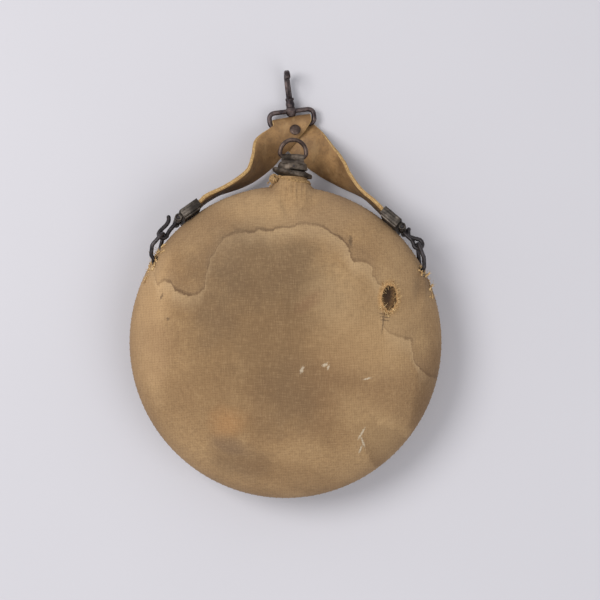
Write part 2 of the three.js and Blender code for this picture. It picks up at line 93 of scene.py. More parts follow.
HOLE = Vector((64.5, 31.0))  # the burnt hole in the front: its middle, half its size and half its scorch
HOLE_HALF = (4.6, 8.0)
SCORCH_HALF = (6.6, 10.4)
LOOP_HINGE = joint_place("right_loop_swing")
SLING_HINGE = joint_place("sling_swing")
BAIL_HINGE = joint_place("bail_swing")
RING_HINGE = joint_place("ring_fold")
GATE_HINGE = joint_place("gate_press")
LOOP_WIRE = 1.3
LOOP_BARS = {-1: 81.2, 1: 82.4}  # how far out each sling loop's outer bar is: left, right
LOOP_BOWS = {-1: 4.6, 1: 2.4}  # how far its front side is bowed out, so both sides show from the front
HOOK_WIRE = 1.35
HOOK_TIPS = {-1: (78.3, 11.6), 1: (76.2, 9.8)}  # in the sling's frame
SLING_TILT = math.radians(-19.5)
CLASP_AT = (65.4, 15.4)  # middle of a clasp, in the sling's frame
CLASP_RUN = (0.768, -0.641)  # direction of the strap's end through a clasp
CLASP_LEAN = 10  # degrees
CLASP_SIZE = (14, 5.6, 27.4)
KNUCKLE_OUT = 7  # from the middle of the clasp's width to each knuckle
HOOK_BAR = 9.4  # from the clasp's middle to the hook's cross bar
IN_SLING = Matrix.Translation(SLING_HINGE) @ Matrix.Rotation(SLING_TILT, 4, "X")


def heading(angle):
    """The direction at an angle in the flask's plane, from X towards Y."""
    return Vector((math.cos(angle), math.sin(angle), 0))


def axes_at(origin, x_axis, y_axis):
    """A matrix with its origin and its X and Y axes at the ones given."""
    x, y = Vector(x_axis).normalized(), Vector(y_axis).normalized()
    turn = Matrix((x, y, x.cross(y))).transposed().to_4x4()
    return Matrix.Translation(origin) @ turn


IN_BAIL = axes_at(BAIL_HINGE, JOINTS["bail_swing"]["axis"], JOINTS["hook_swivel"]["axis"])

# ---- mesh helpers ----


def piece(bm, name, body, materials, nodes=(), smooth=40, thick=0):
    """Makes a bmesh in millimetres an object that rides on a body and stands for CAD nodes."""
    bmesh.ops.scale(bm, vec=(MM, MM, MM), verts=bm.verts)
    mesh = bpy.data.meshes.new(name)
    bm.to_mesh(mesh)
    bm.free()
    for material in materials if isinstance(materials, (list, tuple)) else [materials]:
        mesh.materials.append(material)
    mesh.shade_smooth()
    mesh.set_sharp_from_angle(angle=math.radians(smooth))
    obj = bpy.data.objects.new(name, mesh)
    bpy.context.collection.objects.link(obj)
    if thick:
        shell = obj.modifiers.new("cloth", "SOLIDIFY")
        shell.thickness = thick * MM
        shell.offset = -1
    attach(obj, body)
    if nodes:
        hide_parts(*nodes)
    return obj


def moved(bm, matrix):
    bmesh.ops.transform(bm, matrix=matrix, verts=bm.verts)
    return bm


def joined(*parts):
    """One bmesh that holds all the parts."""
    whole = parts[0]
    for part in parts[1:]:
        scratch = bpy.data.meshes.new("scratch")
        part.to_mesh(scratch)
        part.free()
        whole.from_mesh(scratch)
        bpy.data.meshes.remove(scratch)
    return whole


def skin(across, along, place, caps=True):
    """A grid bent to a shape: place(u, v) is each point, with u round the section and v along it."""
    bm = bmesh.new()
    bmesh.ops.create_grid(bm, x_segments=across, y_segments=along, size=0.5)
    uv = bm.loops.layers.uv.new("UVMap")
    for face in bm.faces:
        for loop in face.loops:
            loop[uv].uv = (loop.vert.co.x + 0.5, loop.vert.co.y + 0.5)
    for vert in bm.verts:
        vert.co = place(vert.co.x + 0.5, vert.co.y + 0.5)
    bmesh.ops.remove_doubles(bm, verts=bm.verts, dist=1e-4)
    if caps:
        bmesh.ops.holes_fill(bm, edges=[e for e in bm.edges if e.is_boundary], sides=0)
    bmesh.ops.recalc_face_normals(bm, faces=bm.faces)
    return bm


def eased(points, radius, steps=4):
    """A chain of points with its inner corners rounded to a radius, or less where there is no room."""
    points = [Vector(p) for p in points]
    out = [points[0]]
    for before, corner, after in zip(points, points[1:], points[2:]):
        back, on = before - corner, after - corner
        half = back.angle(on) / 2
        reach = min(radius / math.tan(half), back.length * 0.45, on.length * 0.45)
        start, end = corner + back.normalized() * reach, corner + on.normalized() * reach
        for k in range(steps + 1):
            t = k / steps
            out.append(start * (1 - t) ** 2 + corner * 2 * t * (1 - t) + end * t**2)
    out.append(points[-1])
    return out


def turned(points, radius=0.3, steps=48, matrix=None):
    """A solid turned about Y from [radius, y] points that start and end on the axis."""
    outline = eased([(r, y, 0) for r, y in points], radius)
    bm = bmesh.new()
    verts = [bm.verts.new(p) for p in outline]
    edges = [bm.edges.new(pair) for pair in zip(verts, verts[1:])]
    bmesh.ops.spin(bm, geom=verts + edges, cent=(0, 0, 0), axis=(0, 1, 0), angle=FULL_TURN, steps=steps,
                   use_merge=True)
    bmesh.ops.remove_doubles(bm, verts=bm.verts, dist=1e-3)
    bmesh.ops.recalc_face_normals(bm, faces=bm.faces)
    return moved(bm, matrix) if matrix else bm


def pipe(bore, outside, low, high):
    """Outline of a tube for turned()."""
    return [(bore, low), (outside, low), (outside, high), (bore, high), (bore, low)]


def frames_on(points, closed=False):
    """At each point, two directions square to the path that don't twist on the way."""
    count = len(points)
    tangents = []
    for i in range(count):
        before = points[i - 1] if closed or i else points[0]
        after = points[(i + 1) % count] if closed or i < count - 1 else points[-1]
        tangents.append((after - before).normalized())
    side = tangents[0].orthogonal().normalized()
    frames = []
    for tangent in tangents:
        side = (side - tangent * side.dot(tangent)).normalized()
        frames.append((side.copy(), tangent.cross(side)))
    return frames


def wire(points, radius, sides=16, closed=False, flat=1.0, taper=None):
    """A round wire along a path. flat squeezes its section, and taper(v) scales its radius."""
    path = [Vector(p) for p in points]
    frames = frames_on(path, closed)
    along = len(path) - (0 if closed else 1)

    def place(u, v):
        i = round(v * along) % len(path)
        a = FULL_TURN * u
        r = radius * (taper(v) if taper else 1)
        return path[i] + frames[i][0] * r * math.cos(a) + frames[i][1] * r * flat * math.sin(a)

    return skin(sides, along, place, caps=not closed)


def rounded(bm, edges, radius, segments):
    bmesh.ops.bevel(bm, geom=edges, offset=radius, segments=segments, profile=0.5, affect="EDGES",
                    material=-1)


def block(size, at, bevel, segments=2):
    """A box with rounded edges."""
    bm = bmesh.new()
    bmesh.ops.create_cube(bm, size=1, matrix=Matrix.Translation(at) @ Matrix.Diagonal((*size, 1)))
    rounded(bm, bm.edges, bevel, segments)
    return bm


def rod(start, end, radius, sides=20, ease=0.3):
    """A round bar with eased ends."""
    start, end = Vector(start), Vector(end)
    length = (end - start).length
    turn = Vector((0, 1, 0)).rotation_difference(end - start).to_matrix().to_4x4()
    return turned([(0, 0), (radius, 0), (radius, length), (0, length)], ease, sides,
                  Matrix.Translation(start) @ turn)


# ---- material helpers ----


class Nodes:
    """Short ways to add and join the nodes of one material."""

    def __init__(self, name, roughness, metallic=0.0):
        self.material = bpy.data.materials.new(name)
        self.material.use_nodes = True
        self.tree = self.material.node_tree
        self.shader = self.tree.nodes["Principled BSDF"]
        self.shader.inputs["Roughness"].default_value = roughness
        self.shader.inputs["Metallic"].default_value = metallic
        coordinates = self.add("ShaderNodeTexCoord")
        self.place = coordinates.outputs["Object"]
        self.uv = coordinates.outputs["UV"]

    def add(self, kind, inputs=None, **settings):
        """A new node, with its input sockets set to numbers or joined to other nodes' outputs."""
        node = self.tree.nodes.new(kind)
        for key, value in settings.items():
            setattr(node, key, value)
        for socket, value in (inputs or {}).items():
            self.put(node, socket, value)
        return node

    def put(self, node, socket, value):
        target = node.inputs[socket]
        if isinstance(value, bpy.types.NodeSocket):
            self.tree.links.new(value, target)
        else:
            target.default_value = value

    def math(self, operation, a, b=0.0):
        return self.add("ShaderNodeMath", {0: a, 1: b}, operation=operation).outputs[0]

    def scaled(self, value, factor):
        return self.math("MULTIPLY", value, factor)

    def inverse(self, value):
        return self.math("SUBTRACT", 1.0, value)

    def swing(self, scale, detail, roughness, size):
        """Noise about zero, for bending an outline."""
        return self.scaled(self.math("SUBTRACT", self.noise(scale, detail, roughness), 0.5), size)

    def mapped(self, scale=(1, 1, 1), turn=(0, 0, 0), shift=(0, 0, 0), source=None):
        return self.add("ShaderNodeMapping", {
            "Vector": source or self.place, "Location": shift, "Rotation": turn, "Scale": scale,
        }).outputs[0]

    def noise(self, scale, detail=3.0, roughness=0.5, source=None):
        return self.add("ShaderNodeTexNoise", {
            "Vector": source or self.place, "Scale": scale, "Detail": detail, "Roughness": roughness,
        }).outputs["Fac"]

    def ramp(self, value, low, high):
        """0 below low, 1 above high."""
        return self.add("ShaderNodeMapRange", {"Value": value, "From Min": low, "From Max": high},
                        interpolation_type="SMOOTHSTEP").outputs["Result"]

    def band(self, value, middle, width):
        """1 where value is at middle, falling to 0 a width away."""
        away = self.math("ABSOLUTE", self.math("SUBTRACT", value, middle))
        return self.inverse(self.ramp(away, 0.0, width))

    def mix(self, amount, a, b):
        node = self.add("ShaderNodeMix", data_type="RGBA")
        sockets = {socket.name: i for i, socket in enumerate(node.inputs) if socket.enabled}
        for name, value in (("Factor", amount), ("A", a), ("B", b)):
            self.put(node, sockets[name], value)
        return [socket for socket in node.outputs if socket.enabled][0]

    def tint(self, color, where, strength, tone):
        """The colour, drawn towards a tone by strength where the mask is 1."""
        return self.mix(self.scaled(where, strength), color, shade(*tone))

    def spot(self, x, y, radius_x, radius_y, soft=0.3, turn=0.0, wobble=None):
        """1 inside an oval on the cover, 0 outside, in millimetres."""
        centred = self.mapped(shift=(-x * MM, -y * MM, 0))
        if turn:
            centred = self.mapped(turn=(0, 0, turn), source=centred)
        flat = self.mapped(scale=(1 / (radius_x * MM), 1 / (radius_y * MM), 0), source=centred)
        away = self.add("ShaderNodeVectorMath", {0: flat}, operation="LENGTH").outputs["Value"]
        if wobble is not None:
            away = self.math("ADD", away, wobble)
        return self.inverse(self.ramp(away, 1 - soft, 1 + soft))

    def bump(self, height, strength, distance, normal=None):
        node = self.add("ShaderNodeBump", {"Height": height, "Strength": strength, "Distance": distance})
        if normal is not None:
            self.put(node, "Normal", normal)
        return node.outputs["Normal"]

    def finish(self, color, normal=None, roughness=None):
        for socket, value in (("Base Color", color), ("Normal", normal), ("Roughness", roughness)):
            if value is not None:
                self.put(self.shader, socket, value)
        return self.material


def shade(red, green, blue):
    """A colour given as seen on a screen, 0 to 255, for a shader."""
    def linear(c):
        c /= 255
        return c / 12.92 if c < 0.04045 else ((c + 0.055) / 1.055) ** 2.4

    return (linear(red), linear(green), linear(blue), 1.0)


# ---- materials ----

# the lower edge of the water stain across the front, and the field it lies in: left, foot, width, height
TIDE_LINE = [
    (-100, 50), (-87, 47), (-84, 40), (-82, 33), (-77, 35.5), (-74, 35), (-71, 30), (-66, 28.5),
    (-61, 27), (-56, 29.5), (-53.4, 35), (-51.6, 43), (-48.4, 50), (-45.6, 58), (-43, 64), (-37, 66),
    (-33, 68.5), (-25, 68.2), (-19, 70.5), (-13, 69.6), (-6, 72), (0, 72.4), (7, 75.4), (13, 74.6),
    (20, 73.4), (26, 69.7), (32, 67), (36, 62), (39, 57), (42, 53), (46, 53), (52, 50), (54, 44),
    (59, 37), (60.6, 26), (62.2, 11), (66, 7.5), (76, 5.5), (80, 4), (84, -10), (88, -16), (100, -20),
]
TIDE_FIELD = (-100, -20, 200, 120)
# soil and fading, with painted light and shade in the rows marked below: x, y, half width, half height, turn,
# colour, strength, softness
MARKS_AND_PAINTED_SHADING = [
    (-14, 46, 40, 26, 0.0, (92, 78, 60), 0.48, 0.5),
    (-2, 4, 52, 44, 0.4, (98, 75, 50), 0.56, 0.6),
    (-10, -20, 64, 60, 0.2, (118, 90, 60), 0.3, 0.5),
    (24, -30, 40, 24, -0.4, (124, 92, 62), 0.34, 0.55),
    # painted highlight: the left rim made lighter, on the side the light comes from
    (-86, 16, 13, 50, 0.0, (200, 164, 120), 0.45, 0.5),
    (70, 28, 26, 40, 0.2, (178, 148, 108), 0.3, 0.6),
    # painted shadow of the fold by the right slit
    (86, 42, 4, 9, 0.2, (96, 74, 52), 0.6, 0.7),
    (-28, 86, 40, 11, 0.3, (182, 152, 112), 0.3, 0.5),
    (-26, -76, 20, 10, 0.2, (102, 80, 58), 0.42, 0.5),
    (-34.8, -50.7, 9, 8, 0.0, (186, 134, 82), 0.5, 0.8),
    (-32, -66, 11, 5, 0.2, (106, 84, 66), 0.45, 0.7),
    (-45, -40, 26, 18, 0.3, (134, 104, 70), 0.4, 0.6),
    # painted shade along the lower right rim, where the surface turns away from the light
    (72, -68, 34, 13, 0.78, (104, 76, 46), 0.6, 0.16),
    (60, -52, 30, 13, 0.7, (190, 158, 114), 0.3, 0.5),
    (4, -34, 17, 22, 0.1, (104, 84, 60), 0.36, 0.6),
    (-81, -4, 13, 18, 0.0, (130, 100, 70), 0.34, 0.6),
    (75, -32, 22, 16, 0.0, (118, 88, 58), 0.36, 0.6),
    (28, 28, 16, 18, 0.0, (184, 154, 114), 0.36, 0.6),
    (46, 0, 30, 16, 0.0, (176, 142, 100), 0.35, 0.6),
    (-44, 30, 14, 30, 0.1, (112, 90, 66), 0.34, 0.6),
    # painted shade along the right rim
    (97, -24, 12, 30, 0.2, (104, 76, 46), 0.5, 0.35),
    (92, -34, 8, 22, 0.35, (96, 70, 42), 0.35, 0.2),
    # painted shade along the bottom rim
    (24, -90, 44, 9, 0.3, (120, 90, 58), 0.4, 0.4),
    (14, 26, 4, 9, 0.9, (120, 86, 60), 0.4, 0.6),
    (-60, 72, 26, 18, 0.6, (138, 112, 82), 0.4, 0.6),
    (30, 86, 30, 10, -0.3, (150, 122, 90), 0.45, 0.6),
]
# pale scratches and dark nicks: x, y, half width, half height, turn
SCRATCHES = [
    (11.2, -16.4, 0.9, 2.2, 0.4), (25.6, -12.6, 1.8, 0.9, -0.5), (27.6, -14.4, 0.7, 1.5, 0.3),
    (52.6, -20.4, 2.6, 0.5, -0.3), (50.6, -55, 0.6, 3.4, 0.5), (51.4, -60.5, 0.6, 3.6, -0.4),
    (50.2, -65.6, 0.5, 2.6, 0.3),
]
NICKS = [
    (38.7, 65.7, 1.1, 3.4, -0.1), (-79.5, 26, 0.6, 2.4, 0.4), (-74.5, 12, 0.9, 1.1, 0.0),
    (62.0, 20.5, 3.6, 0.5, 0.1), (62.6, 18.6, 3.2, 0.45, 0.1), (61.8, 16.8, 3.0, 0.4, 0.1),
    (61.2, 17, 0.5, 8.5, 0.08), (91.0, 39.5, 0.5, 3.6, -0.42), (94.4, 32.4, 0.6, 3.2, -0.36),
    (97, 26, 0.4, 3, -0.3),
]


def canvas_material(name, stained):
    n = Nodes(name, 0.93)
    warp, weft = (n.add("ShaderNodeTexWave", {
        "Vector": n.place, "Scale": 290, "Distortion": 1.2, "Detail": 2, "Detail Scale": 0.6,
    }, wave_type="BANDS", bands_direction=way, wave_profile="SIN") for way in "XY")
    weave = n.scaled(n.math("ADD", warp.outputs["Fac"], weft.outputs["Fac"]), 0.5)
    slub = n.noise(1500, 2, source=n.mapped(scale=(0.12, 1, 1)))
    slub_across = n.noise(1500, 2, source=n.mapped(scale=(1, 0.12, 1)))
    threads = n.scaled(n.math("ADD", slub, slub_across), 0.5)
    mottle = n.noise(55, 5, 0.6)
    broad = n.noise(14, 3, 0.55)
    fine = n.noise(420, 4, 0.65)

    color = n.mix(n.ramp(broad, 0.3, 0.7), shade(140, 109, 73), shade(174, 141, 99))
    color = n.tint(color, n.ramp(mottle, 0.35, 0.68), 0.6, (158, 127, 88))
    color = n.tint(color, n.ramp(mottle, 0.52, 0.78), 0.35, (186, 154, 112))
    color = n.tint(color, n.ramp(fine, 0.35, 0.7), 0.32, (108, 82, 54))
    if stained:
        color = stained_color(n, color, mottle)
    color = n.tint(color, n.inverse(n.ramp(weave, 0.1, 0.5)), 0.3, (88, 64, 40))
    color = n.tint(color, n.ramp(threads, 0.48, 0.68), 0.17, (190, 160, 120))
    color = n.tint(color, n.inverse(n.ramp(threads, 0.34, 0.5)), 0.24, (100, 76, 50))
    height = n.math("ADD", n.scaled(weave, 0.6), n.scaled(threads, 0.8))
    normal = n.bump(height, 0.55, 0.0004)
    normal = n.bump(mottle, 0.25, 0.0012, normal)
    n.put(n.shader, "Sheen Weight", 0.04)
    n.put(n.shader, "Sheen Roughness", 0.6)
    return n.finish(color, normal)


def stained_color(n, color, mottle):
    """Water stains with dark tide lines, soil and small marks on the front cover, with painted light and
    shade along its rim and by a slit.
    """
    x, y, _ = n.add("ShaderNodeSeparateXYZ", {0: n.place}).outputs
    wander = n.swing(70, 3, 0.6, 0.012)
    ragged = n.swing(260, 4, 0.7, 0.0046)
    curve = n.add("ShaderNodeFloatCurve")
    points = curve.mapping.curves[0].points
    left, foot, wide, tall = TIDE_FIELD
    spread = [((a - left) / wide, (b - foot) / tall) for a, b in TIDE_LINE]
    points[0].location, points[1].location = spread[0], spread[-1]
    for place in spread[1:-1]:
        points.new(*place)
    curve.mapping.update()
    n.put(curve, "Value", n.math("ADD", n.scaled(n.math("ADD", x, wander), 1 / (wide * MM)), -left / wide))
    line = n.math("ADD", n.scaled(curve.outputs[0], tall * MM), foot * MM)
    above = n.math("ADD", n.math("SUBTRACT", y, line), ragged)

    damp = n.scaled(n.ramp(above, -0.0006, 0.0008), 0.42)
    fade = n.inverse(n.scaled(n.ramp(above, 0.001, 0.016), 0.86))
    color = n.tint(color, damp, fade, (124, 99, 72))
    halo = n.scaled(n.ramp(n.scaled(above, -1.0), 0.014, 0.0005), 0.4)
    color = n.tint(color, halo, n.inverse(n.ramp(above, -0.0004, 0.0004)), (196, 168, 130))
    tide = n.scaled(n.band(above, 0.0009, 0.0018), n.ramp(n.noise(30, 3), 0.15, 0.5))
    color = n.tint(color, tide, 0.78, (84, 60, 38))

    wobble = n.swing(48, 4, 0.6, 1.3)
    # soil and fading, and the painted highlight and shade rows of the table
    for *oval, turn, tone, strength, soft in MARKS_AND_PAINTED_SHADING:
        color = n.tint(color, n.spot(*oval, soft, turn, wobble), strength, tone)
    scorch = n.spot(*HOLE, *SCORCH_HALF, 0.25, 0.0, n.scaled(wobble, 0.5))
    color = n.tint(color, scorch, 0.55, (178, 132, 76))
    scuffed = n.swing(900, 3, 0.7, 3.0)
    for *oval, turn in SCRATCHES:
        color = n.tint(color, n.spot(*oval, 0.5, turn, scuffed), 0.6, (206, 194, 172))
    for *oval, turn in NICKS:
        color = n.tint(color, n.spot(*oval, 0.4, turn, scuffed), 0.7, (84, 64, 44))
    # soil along the sewn rim
    out = n.add("ShaderNodeVectorMath", {0: n.mapped(scale=(1, 1, 0))}, operation="LENGTH")
    edge = n.scaled(n.ramp(out.outputs["Value"], 0.088, 0.1), n.ramp(mottle, 0.35, 0.65))
    return n.tint(color, edge, 0.4, (122, 92, 60))


def felt_material():
    n = Nodes("charred_felt", 1.0)
    fibre = n.noise(900, 4, 0.7)
    color = n.mix(n.ramp(fibre, 0.3, 0.7), shade(78, 54, 32), shade(136, 104, 66))
    # darker at the upper left inside the burnt hole: charring, with painted shadow cast by the hole's edge
    char_and_shadow = n.spot(63.4, 32.6, 2.6, 6.4, 0.6)
    color = n.tint(color, char_and_shadow, 0.85, (40, 24, 14))
    return n.finish(color, n.bump(fibre, 0.8, 0.0006))


def leather_material():
    n = Nodes("strap_leather", 0.62)
    grain = n.noise(700, 4, 0.6)
    pores = n.add("ShaderNodeTexVoronoi", {"Scale": 1500, "Vector": n.place}, feature="DISTANCE_TO_EDGE")
    broad = n.noise(60, 4, 0.6)
    color = n.mix(n.ramp(broad, 0.3, 0.72), shade(114, 84, 50), shade(162, 125, 80))
    color = n.tint(color, n.ramp(grain, 0.45, 0.75), 0.45, (90, 65, 42))
    streak = n.noise(260, 3, 0.5, source=n.mapped(scale=(1, 0.2, 1)))
    color = n.tint(color, n.ramp(streak, 0.5, 0.75), 0.35, (172, 141, 98))
    height = n.math("ADD", grain, n.scaled(pores.outputs["Distance"], 0.8))
    return n.finish(color, n.bump(height, 0.3, 0.0004), n.ramp(broad, -1.2, 1.6))


def leather_edge_material():
    """Cut edge of the strap: pale plies with a dark line between them, by the height on the edge."""
    n = Nodes("strap_edge", 0.7)
    ply = n.add("ShaderNodeSeparateXYZ", {0: n.uv}).outputs["X"]
    fibre = n.noise(1200, 3, 0.6)
    color = n.mix(n.ramp(fibre, 0.3, 0.7), shade(146, 112, 68), shade(196, 163, 106))
    for at in (0.36, 0.64):
        color = n.tint(color, n.band(ply, at, 0.07), 0.8, (92, 62, 32))
    return n.finish(color, n.bump(fibre, 0.5, 0.0004))


def iron_material(name, dark, light, rust, roughness=0.42):
    """Japanned or browned iron: dark finish, patchily worn lighter, with specks of rust."""
    n = Nodes(name, roughness, 0.75)
    broad = n.noise(160, 5, 0.65)
    fine = n.noise(1400, 4, 0.6)
    color = n.mix(n.ramp(broad, 0.35, 0.7), shade(*dark), shade(*light))
    color = n.tint(color, n.ramp(fine, 0.52, 0.72), 0.6, rust)
    rough = n.math("ADD", roughness - 0.12, n.scaled(fine, 0.35))
    return n.finish(color, n.bump(fine, 0.35, 0.00025), rough)


def cork_material():
    n = Nodes("stopper_cork", 0.85)
    cells = n.add("ShaderNodeTexVoronoi", {"Scale": 900, "Vector": n.place}, feature="F1")
    blotch = n.noise(500, 4, 0.7)
    color = n.mix(n.ramp(cells.outputs["Distance"], 0.1, 0.7), shade(196, 152, 100), shade(150, 104, 62))
    color = n.mix(n.ramp(blotch, 0.6, 0.7), color, shade(70, 44, 26))
    return n.finish(color, n.bump(blotch, 0.6, 0.0005))


def tin_material():
    n = Nodes("dull_tinplate", 0.4, 0.9)
    spangle = n.noise(60, 4, 0.6)
    fine = n.noise(900, 3, 0.6)
    color = n.mix(n.ramp(spangle, 0.35, 0.65), shade(128, 126, 120), shade(176, 174, 168))
    color = n.tint(color, n.ramp(fine, 0.6, 0.75), 0.5, (110, 80, 54))
    return n.finish(color, n.bump(fine, 0.15, 0.0003))


def twine_material():
    n = Nodes("flax_twine", 0.95)
    fibre = n.noise(1300, 4, 0.7)
    color = n.mix(n.ramp(fibre, 0.3, 0.7), shade(112, 86, 54), shade(184, 150, 104))
    return n.finish(color, n.bump(fibre, 0.6, 0.0005))


def fray_material():
    n = Nodes("frayed_thread", 0.95)
    fibre = n.noise(700, 3, 0.7)
    color = n.mix(n.ramp(fibre, 0.35, 0.65), shade(140, 104, 62), shade(214, 184, 134))
    return n.finish(color)


CANVAS_FRONT = canvas_material("stained_canvas", True)
CANVAS_BACK = canvas_material("plain_canvas", False)
FELT = felt_material()
LEATHER = leather_material()
LEATHER_EDGE = leather_edge_material()
LIP_METAL = iron_material("oxidised_spout", (48, 42, 36), (124, 112, 100), (98, 70, 46), 0.5)
RING_IRON = iron_material("browned_ring", (58, 46, 42), (104, 88, 80), (86, 58, 44))
BLACK_IRON = iron_material("japanned_iron", (30, 28, 30), (74, 70, 72), (70, 52, 44))
CLASP_PLATE = iron_material("clasp_plate", (52, 48, 44), (112, 104, 96), (84, 66, 52), 0.48)
SNAP_IRON = iron_material("snap_iron", (44, 40, 44), (104, 92, 90), (112, 70, 54))
CORK = cork_material()
TIN = tin_material()
TWINE = twine_material()
FRAY = fray_material()

# ---- the cover ----


def sleeve_radius(y):
    """Radius of the cloth round the neck, by height."""
    table = [(70, 0), (80, 9), (88, 14.2), (93, 15.2), (96, 14.4), (101, 11.8), (104, 10.1),
             (130, SLEEVE_RADIUS)]
    if y <= table[0][0]:
        return 0
    for (y0, r0), (y1, r1) in zip(table, table[1:]):
        if y <= y1:
            t = (y - y0) / (y1 - y0)
            return r0 + (r1 - r0) * t
    return table[-1][1]


def outline_radius(angle):
    """Distance from the middle to the sewn edge, a circle with the neck's sleeve standing out of it."""
    away = abs(math.degrees(angle) - 90)
    mouth = math.degrees(math.atan2(SLEEVE_RADIUS, SLEEVE_TOP))
    if away <= mouth:
        return SLEEVE_TOP / math.cos(math.radians(away))
    flare = 2.9
    if away >= mouth + flare:
        return RIM
    stand = SLEEVE_TOP / math.cos(math.radians(mouth)) - RIM
    return RIM + stand * (1 - ((away - mouth) / flare) ** 0.45)


def lens_height(r):
    """Half thickness of the flask's lens shape at a radius."""
    if r <= FLAT:
        return HALF
    if r >= RIM:
        return 0
    t = (r - FLAT) / (RIM - FLAT)
    return HALF * (1 - t**2.2) ** 0.62


# creases in the front: x, y, the direction they run in, how high (or deep), and how wide
CREASES = [
    (-9, 88, -0.5, 0.87, 1.2, 2.4), (-3, 86, -0.1, 1.0, -0.9, 2.2), (7, 88, 0.5, 0.87, 1.4, 2.2),
    (13, 86, 0.75, 0.66, -1.5, 1.8), (18, 87, 0.85, 0.52, 1.2, 2.2), (83, 40, 0.1, 1.0, -2.0, 2.6),
    (88, 38, 0.2, 0.98, 1.8, 2.0), (-80, 44, 0.3, 0.95, 1.0, 3.0), (-76, 40, 0.35, 0.93, -1.0, 3.0),
    (-50, 66, 0.8, 0.6, 0.7, 4.0), (40, 66, 0.9, -0.43, -0.8, 2.6), (66, 24, 0.98, 0.2, -0.8, 2.6),
]


def cover_point(angle, v, side, seed):
    """A point of the cloth: angle round the middle, v from the middle to the sewn edge."""
    edge = outline_radius(angle)
    inner = 0.24
    if v < inner:
        r = FLAT * v / inner
    else:
        r = FLAT + (edge - FLAT) * math.sin((v - inner) / (1 - inner) * math.pi / 2) ** 0.91
    x, y = r * math.cos(angle), r * math.sin(angle)
    lens = lens_height(r)
    neck = math.sqrt(max(sleeve_radius(y) ** 2 - x * x, 0)) if y > 70 else 0
    h = (lens**6 + neck**6) ** (1 / 6)
    spot = Vector((x / 38, y / 38, seed))
    h += 0.9 * noise.noise(spot) * min(h / 12, 1)
    h += 0.35 * noise.noise(Vector((x / 9, y / 9, seed + 5))) * min(h / 6, 1)
    for cx, cy, dx, dy, depth, wide in CREASES if side > 0 else ():
        along = (x - cx) * dx + (y - cy) * dy
        across = (x - cx) * dy - (y - cy) * dx
        across_fade = math.exp(-((across / wide) ** 2))
        h += depth * across_fade * math.exp(-((along / (wide * 4)) ** 2)) * min(h / 5, 1)
    near_edge = max(0.0, (r - 0.82 * RIM) / (0.18 * RIM))
    pucker = noise.noise(Vector((math.cos(angle) * 16, math.sin(angle) * 16, seed + 9)))
    h += 0.8 * pucker * near_edge * (1 - near_edge) * 4 * min(h / 5, 1)
    near_neck = max(0.0, 1 - math.hypot(x / 20, (y - 98) / 12))
    h += 0.75 * math.sin(x * 1.9 + seed) * near_neck * min(neck / 5, 1)
    if side < 0:
        h = min(h, HALF - CLOTH_SKIN)
    return Vector((x, y, MID + side * (max(h, 0) + CLOTH_SKIN)))


def near_bracket(co, across, depth):
    """Is the point in the slit that a sling loop comes through?"""
    out = LOOP_HINGE.xy.normalized()
    radial = abs(co.x) * out.x + co.y * out.y
    tangential = -abs(co.x) * out.y + co.y * out.x
    ragged = 1.1 * noise.noise(Vector((co.x / 1.6, co.y / 1.6, co.z / 1.6)))
    return abs(tangential) + ragged < across and radial > depth - ragged


def hole_distance(co):
    """1 on the edge of the burnt hole, less inside it."""
    flat = math.hypot((co.x - HOLE.x) / HOLE_HALF[0], (co.y - HOLE.y) / HOLE_HALF[1])
    return flat + 0.22 * noise.noise(Vector((co.x / 2.2, co.y / 2.2, 3))) + 0.1 * noise.noise(co / 0.7)


def refined(bm, chosen, cuts):
    """Divides the chosen faces' edges."""
    edges = {e for f in chosen for e in f.edges}
    bmesh.ops.subdivide_edges(bm, edges=list(edges), cuts=cuts, use_grid_fill=True)


def cover(side):
    """One half of the canvas cover as an open sheet."""
    seed = 3.1 if side > 0 else 11.7

    def place(u, v):
        s = u - 0.5
        angle = math.pi / 2 + FULL_TURN * (s - 0.1 * math.sin(FULL_TURN * s))
        return cover_point(angle, v, side, seed)

    bm = skin(248, 66, place, caps=False)
    slit_faces = [f for f in bm.faces if near_bracket(f.calc_center_median(), 8, 93)]
    refined(bm, slit_faces, 3)
    if side > 0:
        refined(bm, [f for f in bm.faces if (f.calc_center_median().xy - HOLE).length < 13], 4)
    gone = [f for f in bm.faces if near_bracket(f.calc_center_median(), SLIT_HALF, SLIT_FROM)]
    if side > 0:
        gone += [f for f in bm.faces if (f.calc_center_median().xy - HOLE).length < 12
                 and hole_distance(f.calc_center_median()) < 1]
    bmesh.ops.delete(bm, geom=list(set(gone)), context="FACES")
    if side > 0:
        for v in bm.verts:
            if (v.co.xy - HOLE).length < 14:
                rim = hole_distance(v.co)
                v.co.z += 0.7 * math.exp(-((rim - 1.05) / 0.25) ** 2)
    for face in bm.faces:
        if face.normal.z * side < 0:
            face.normal_flip()
    return bm


def canvas_covers():
    for face, side, material in (("front", 1, CANVAS_FRONT), ("back", -1, CANVAS_BACK)):
        obj = piece(cover(side), f"canvas_cover_{face}", "canteen", material, [f"canvas_{face}"],
                    smooth=60, thick=CLOTH)


def rim_stitches():
    """Whip stitches that close the two halves along the rim."""
    parts = []
    count = 150
    for k in range(count):
        angle = math.pi / 2 + math.radians(11) + (FULL_TURN - math.radians(22)) * k / (count - 1)
        at = heading(angle)
        if near_bracket(at * RIM, 8, 90):
            continue
        along = Vector((-at.y, at.x, 0))
        lean = along * 0.7
        reach = outline_radius(angle)
        points = [
            at * (reach - 2.4) - lean + Vector((0, 0, MID - 3.0)),
            at * (reach - 0.25) - lean * 0.5 + Vector((0, 0, MID - 1.7)),
            at * (reach + 0.1) + Vector((0, 0, MID)),
            at * (reach - 0.25) + lean * 0.5 + Vector((0, 0, MID + 1.7)),
            at * (reach - 2.4) + lean + Vector((0, 0, MID + 3.0)),
        ]
        parts.append(wire(eased(points, 0.8, 1), 0.22, 5))
    piece(joined(*parts), "rim_stitches", "canteen", TWINE, smooth=80)


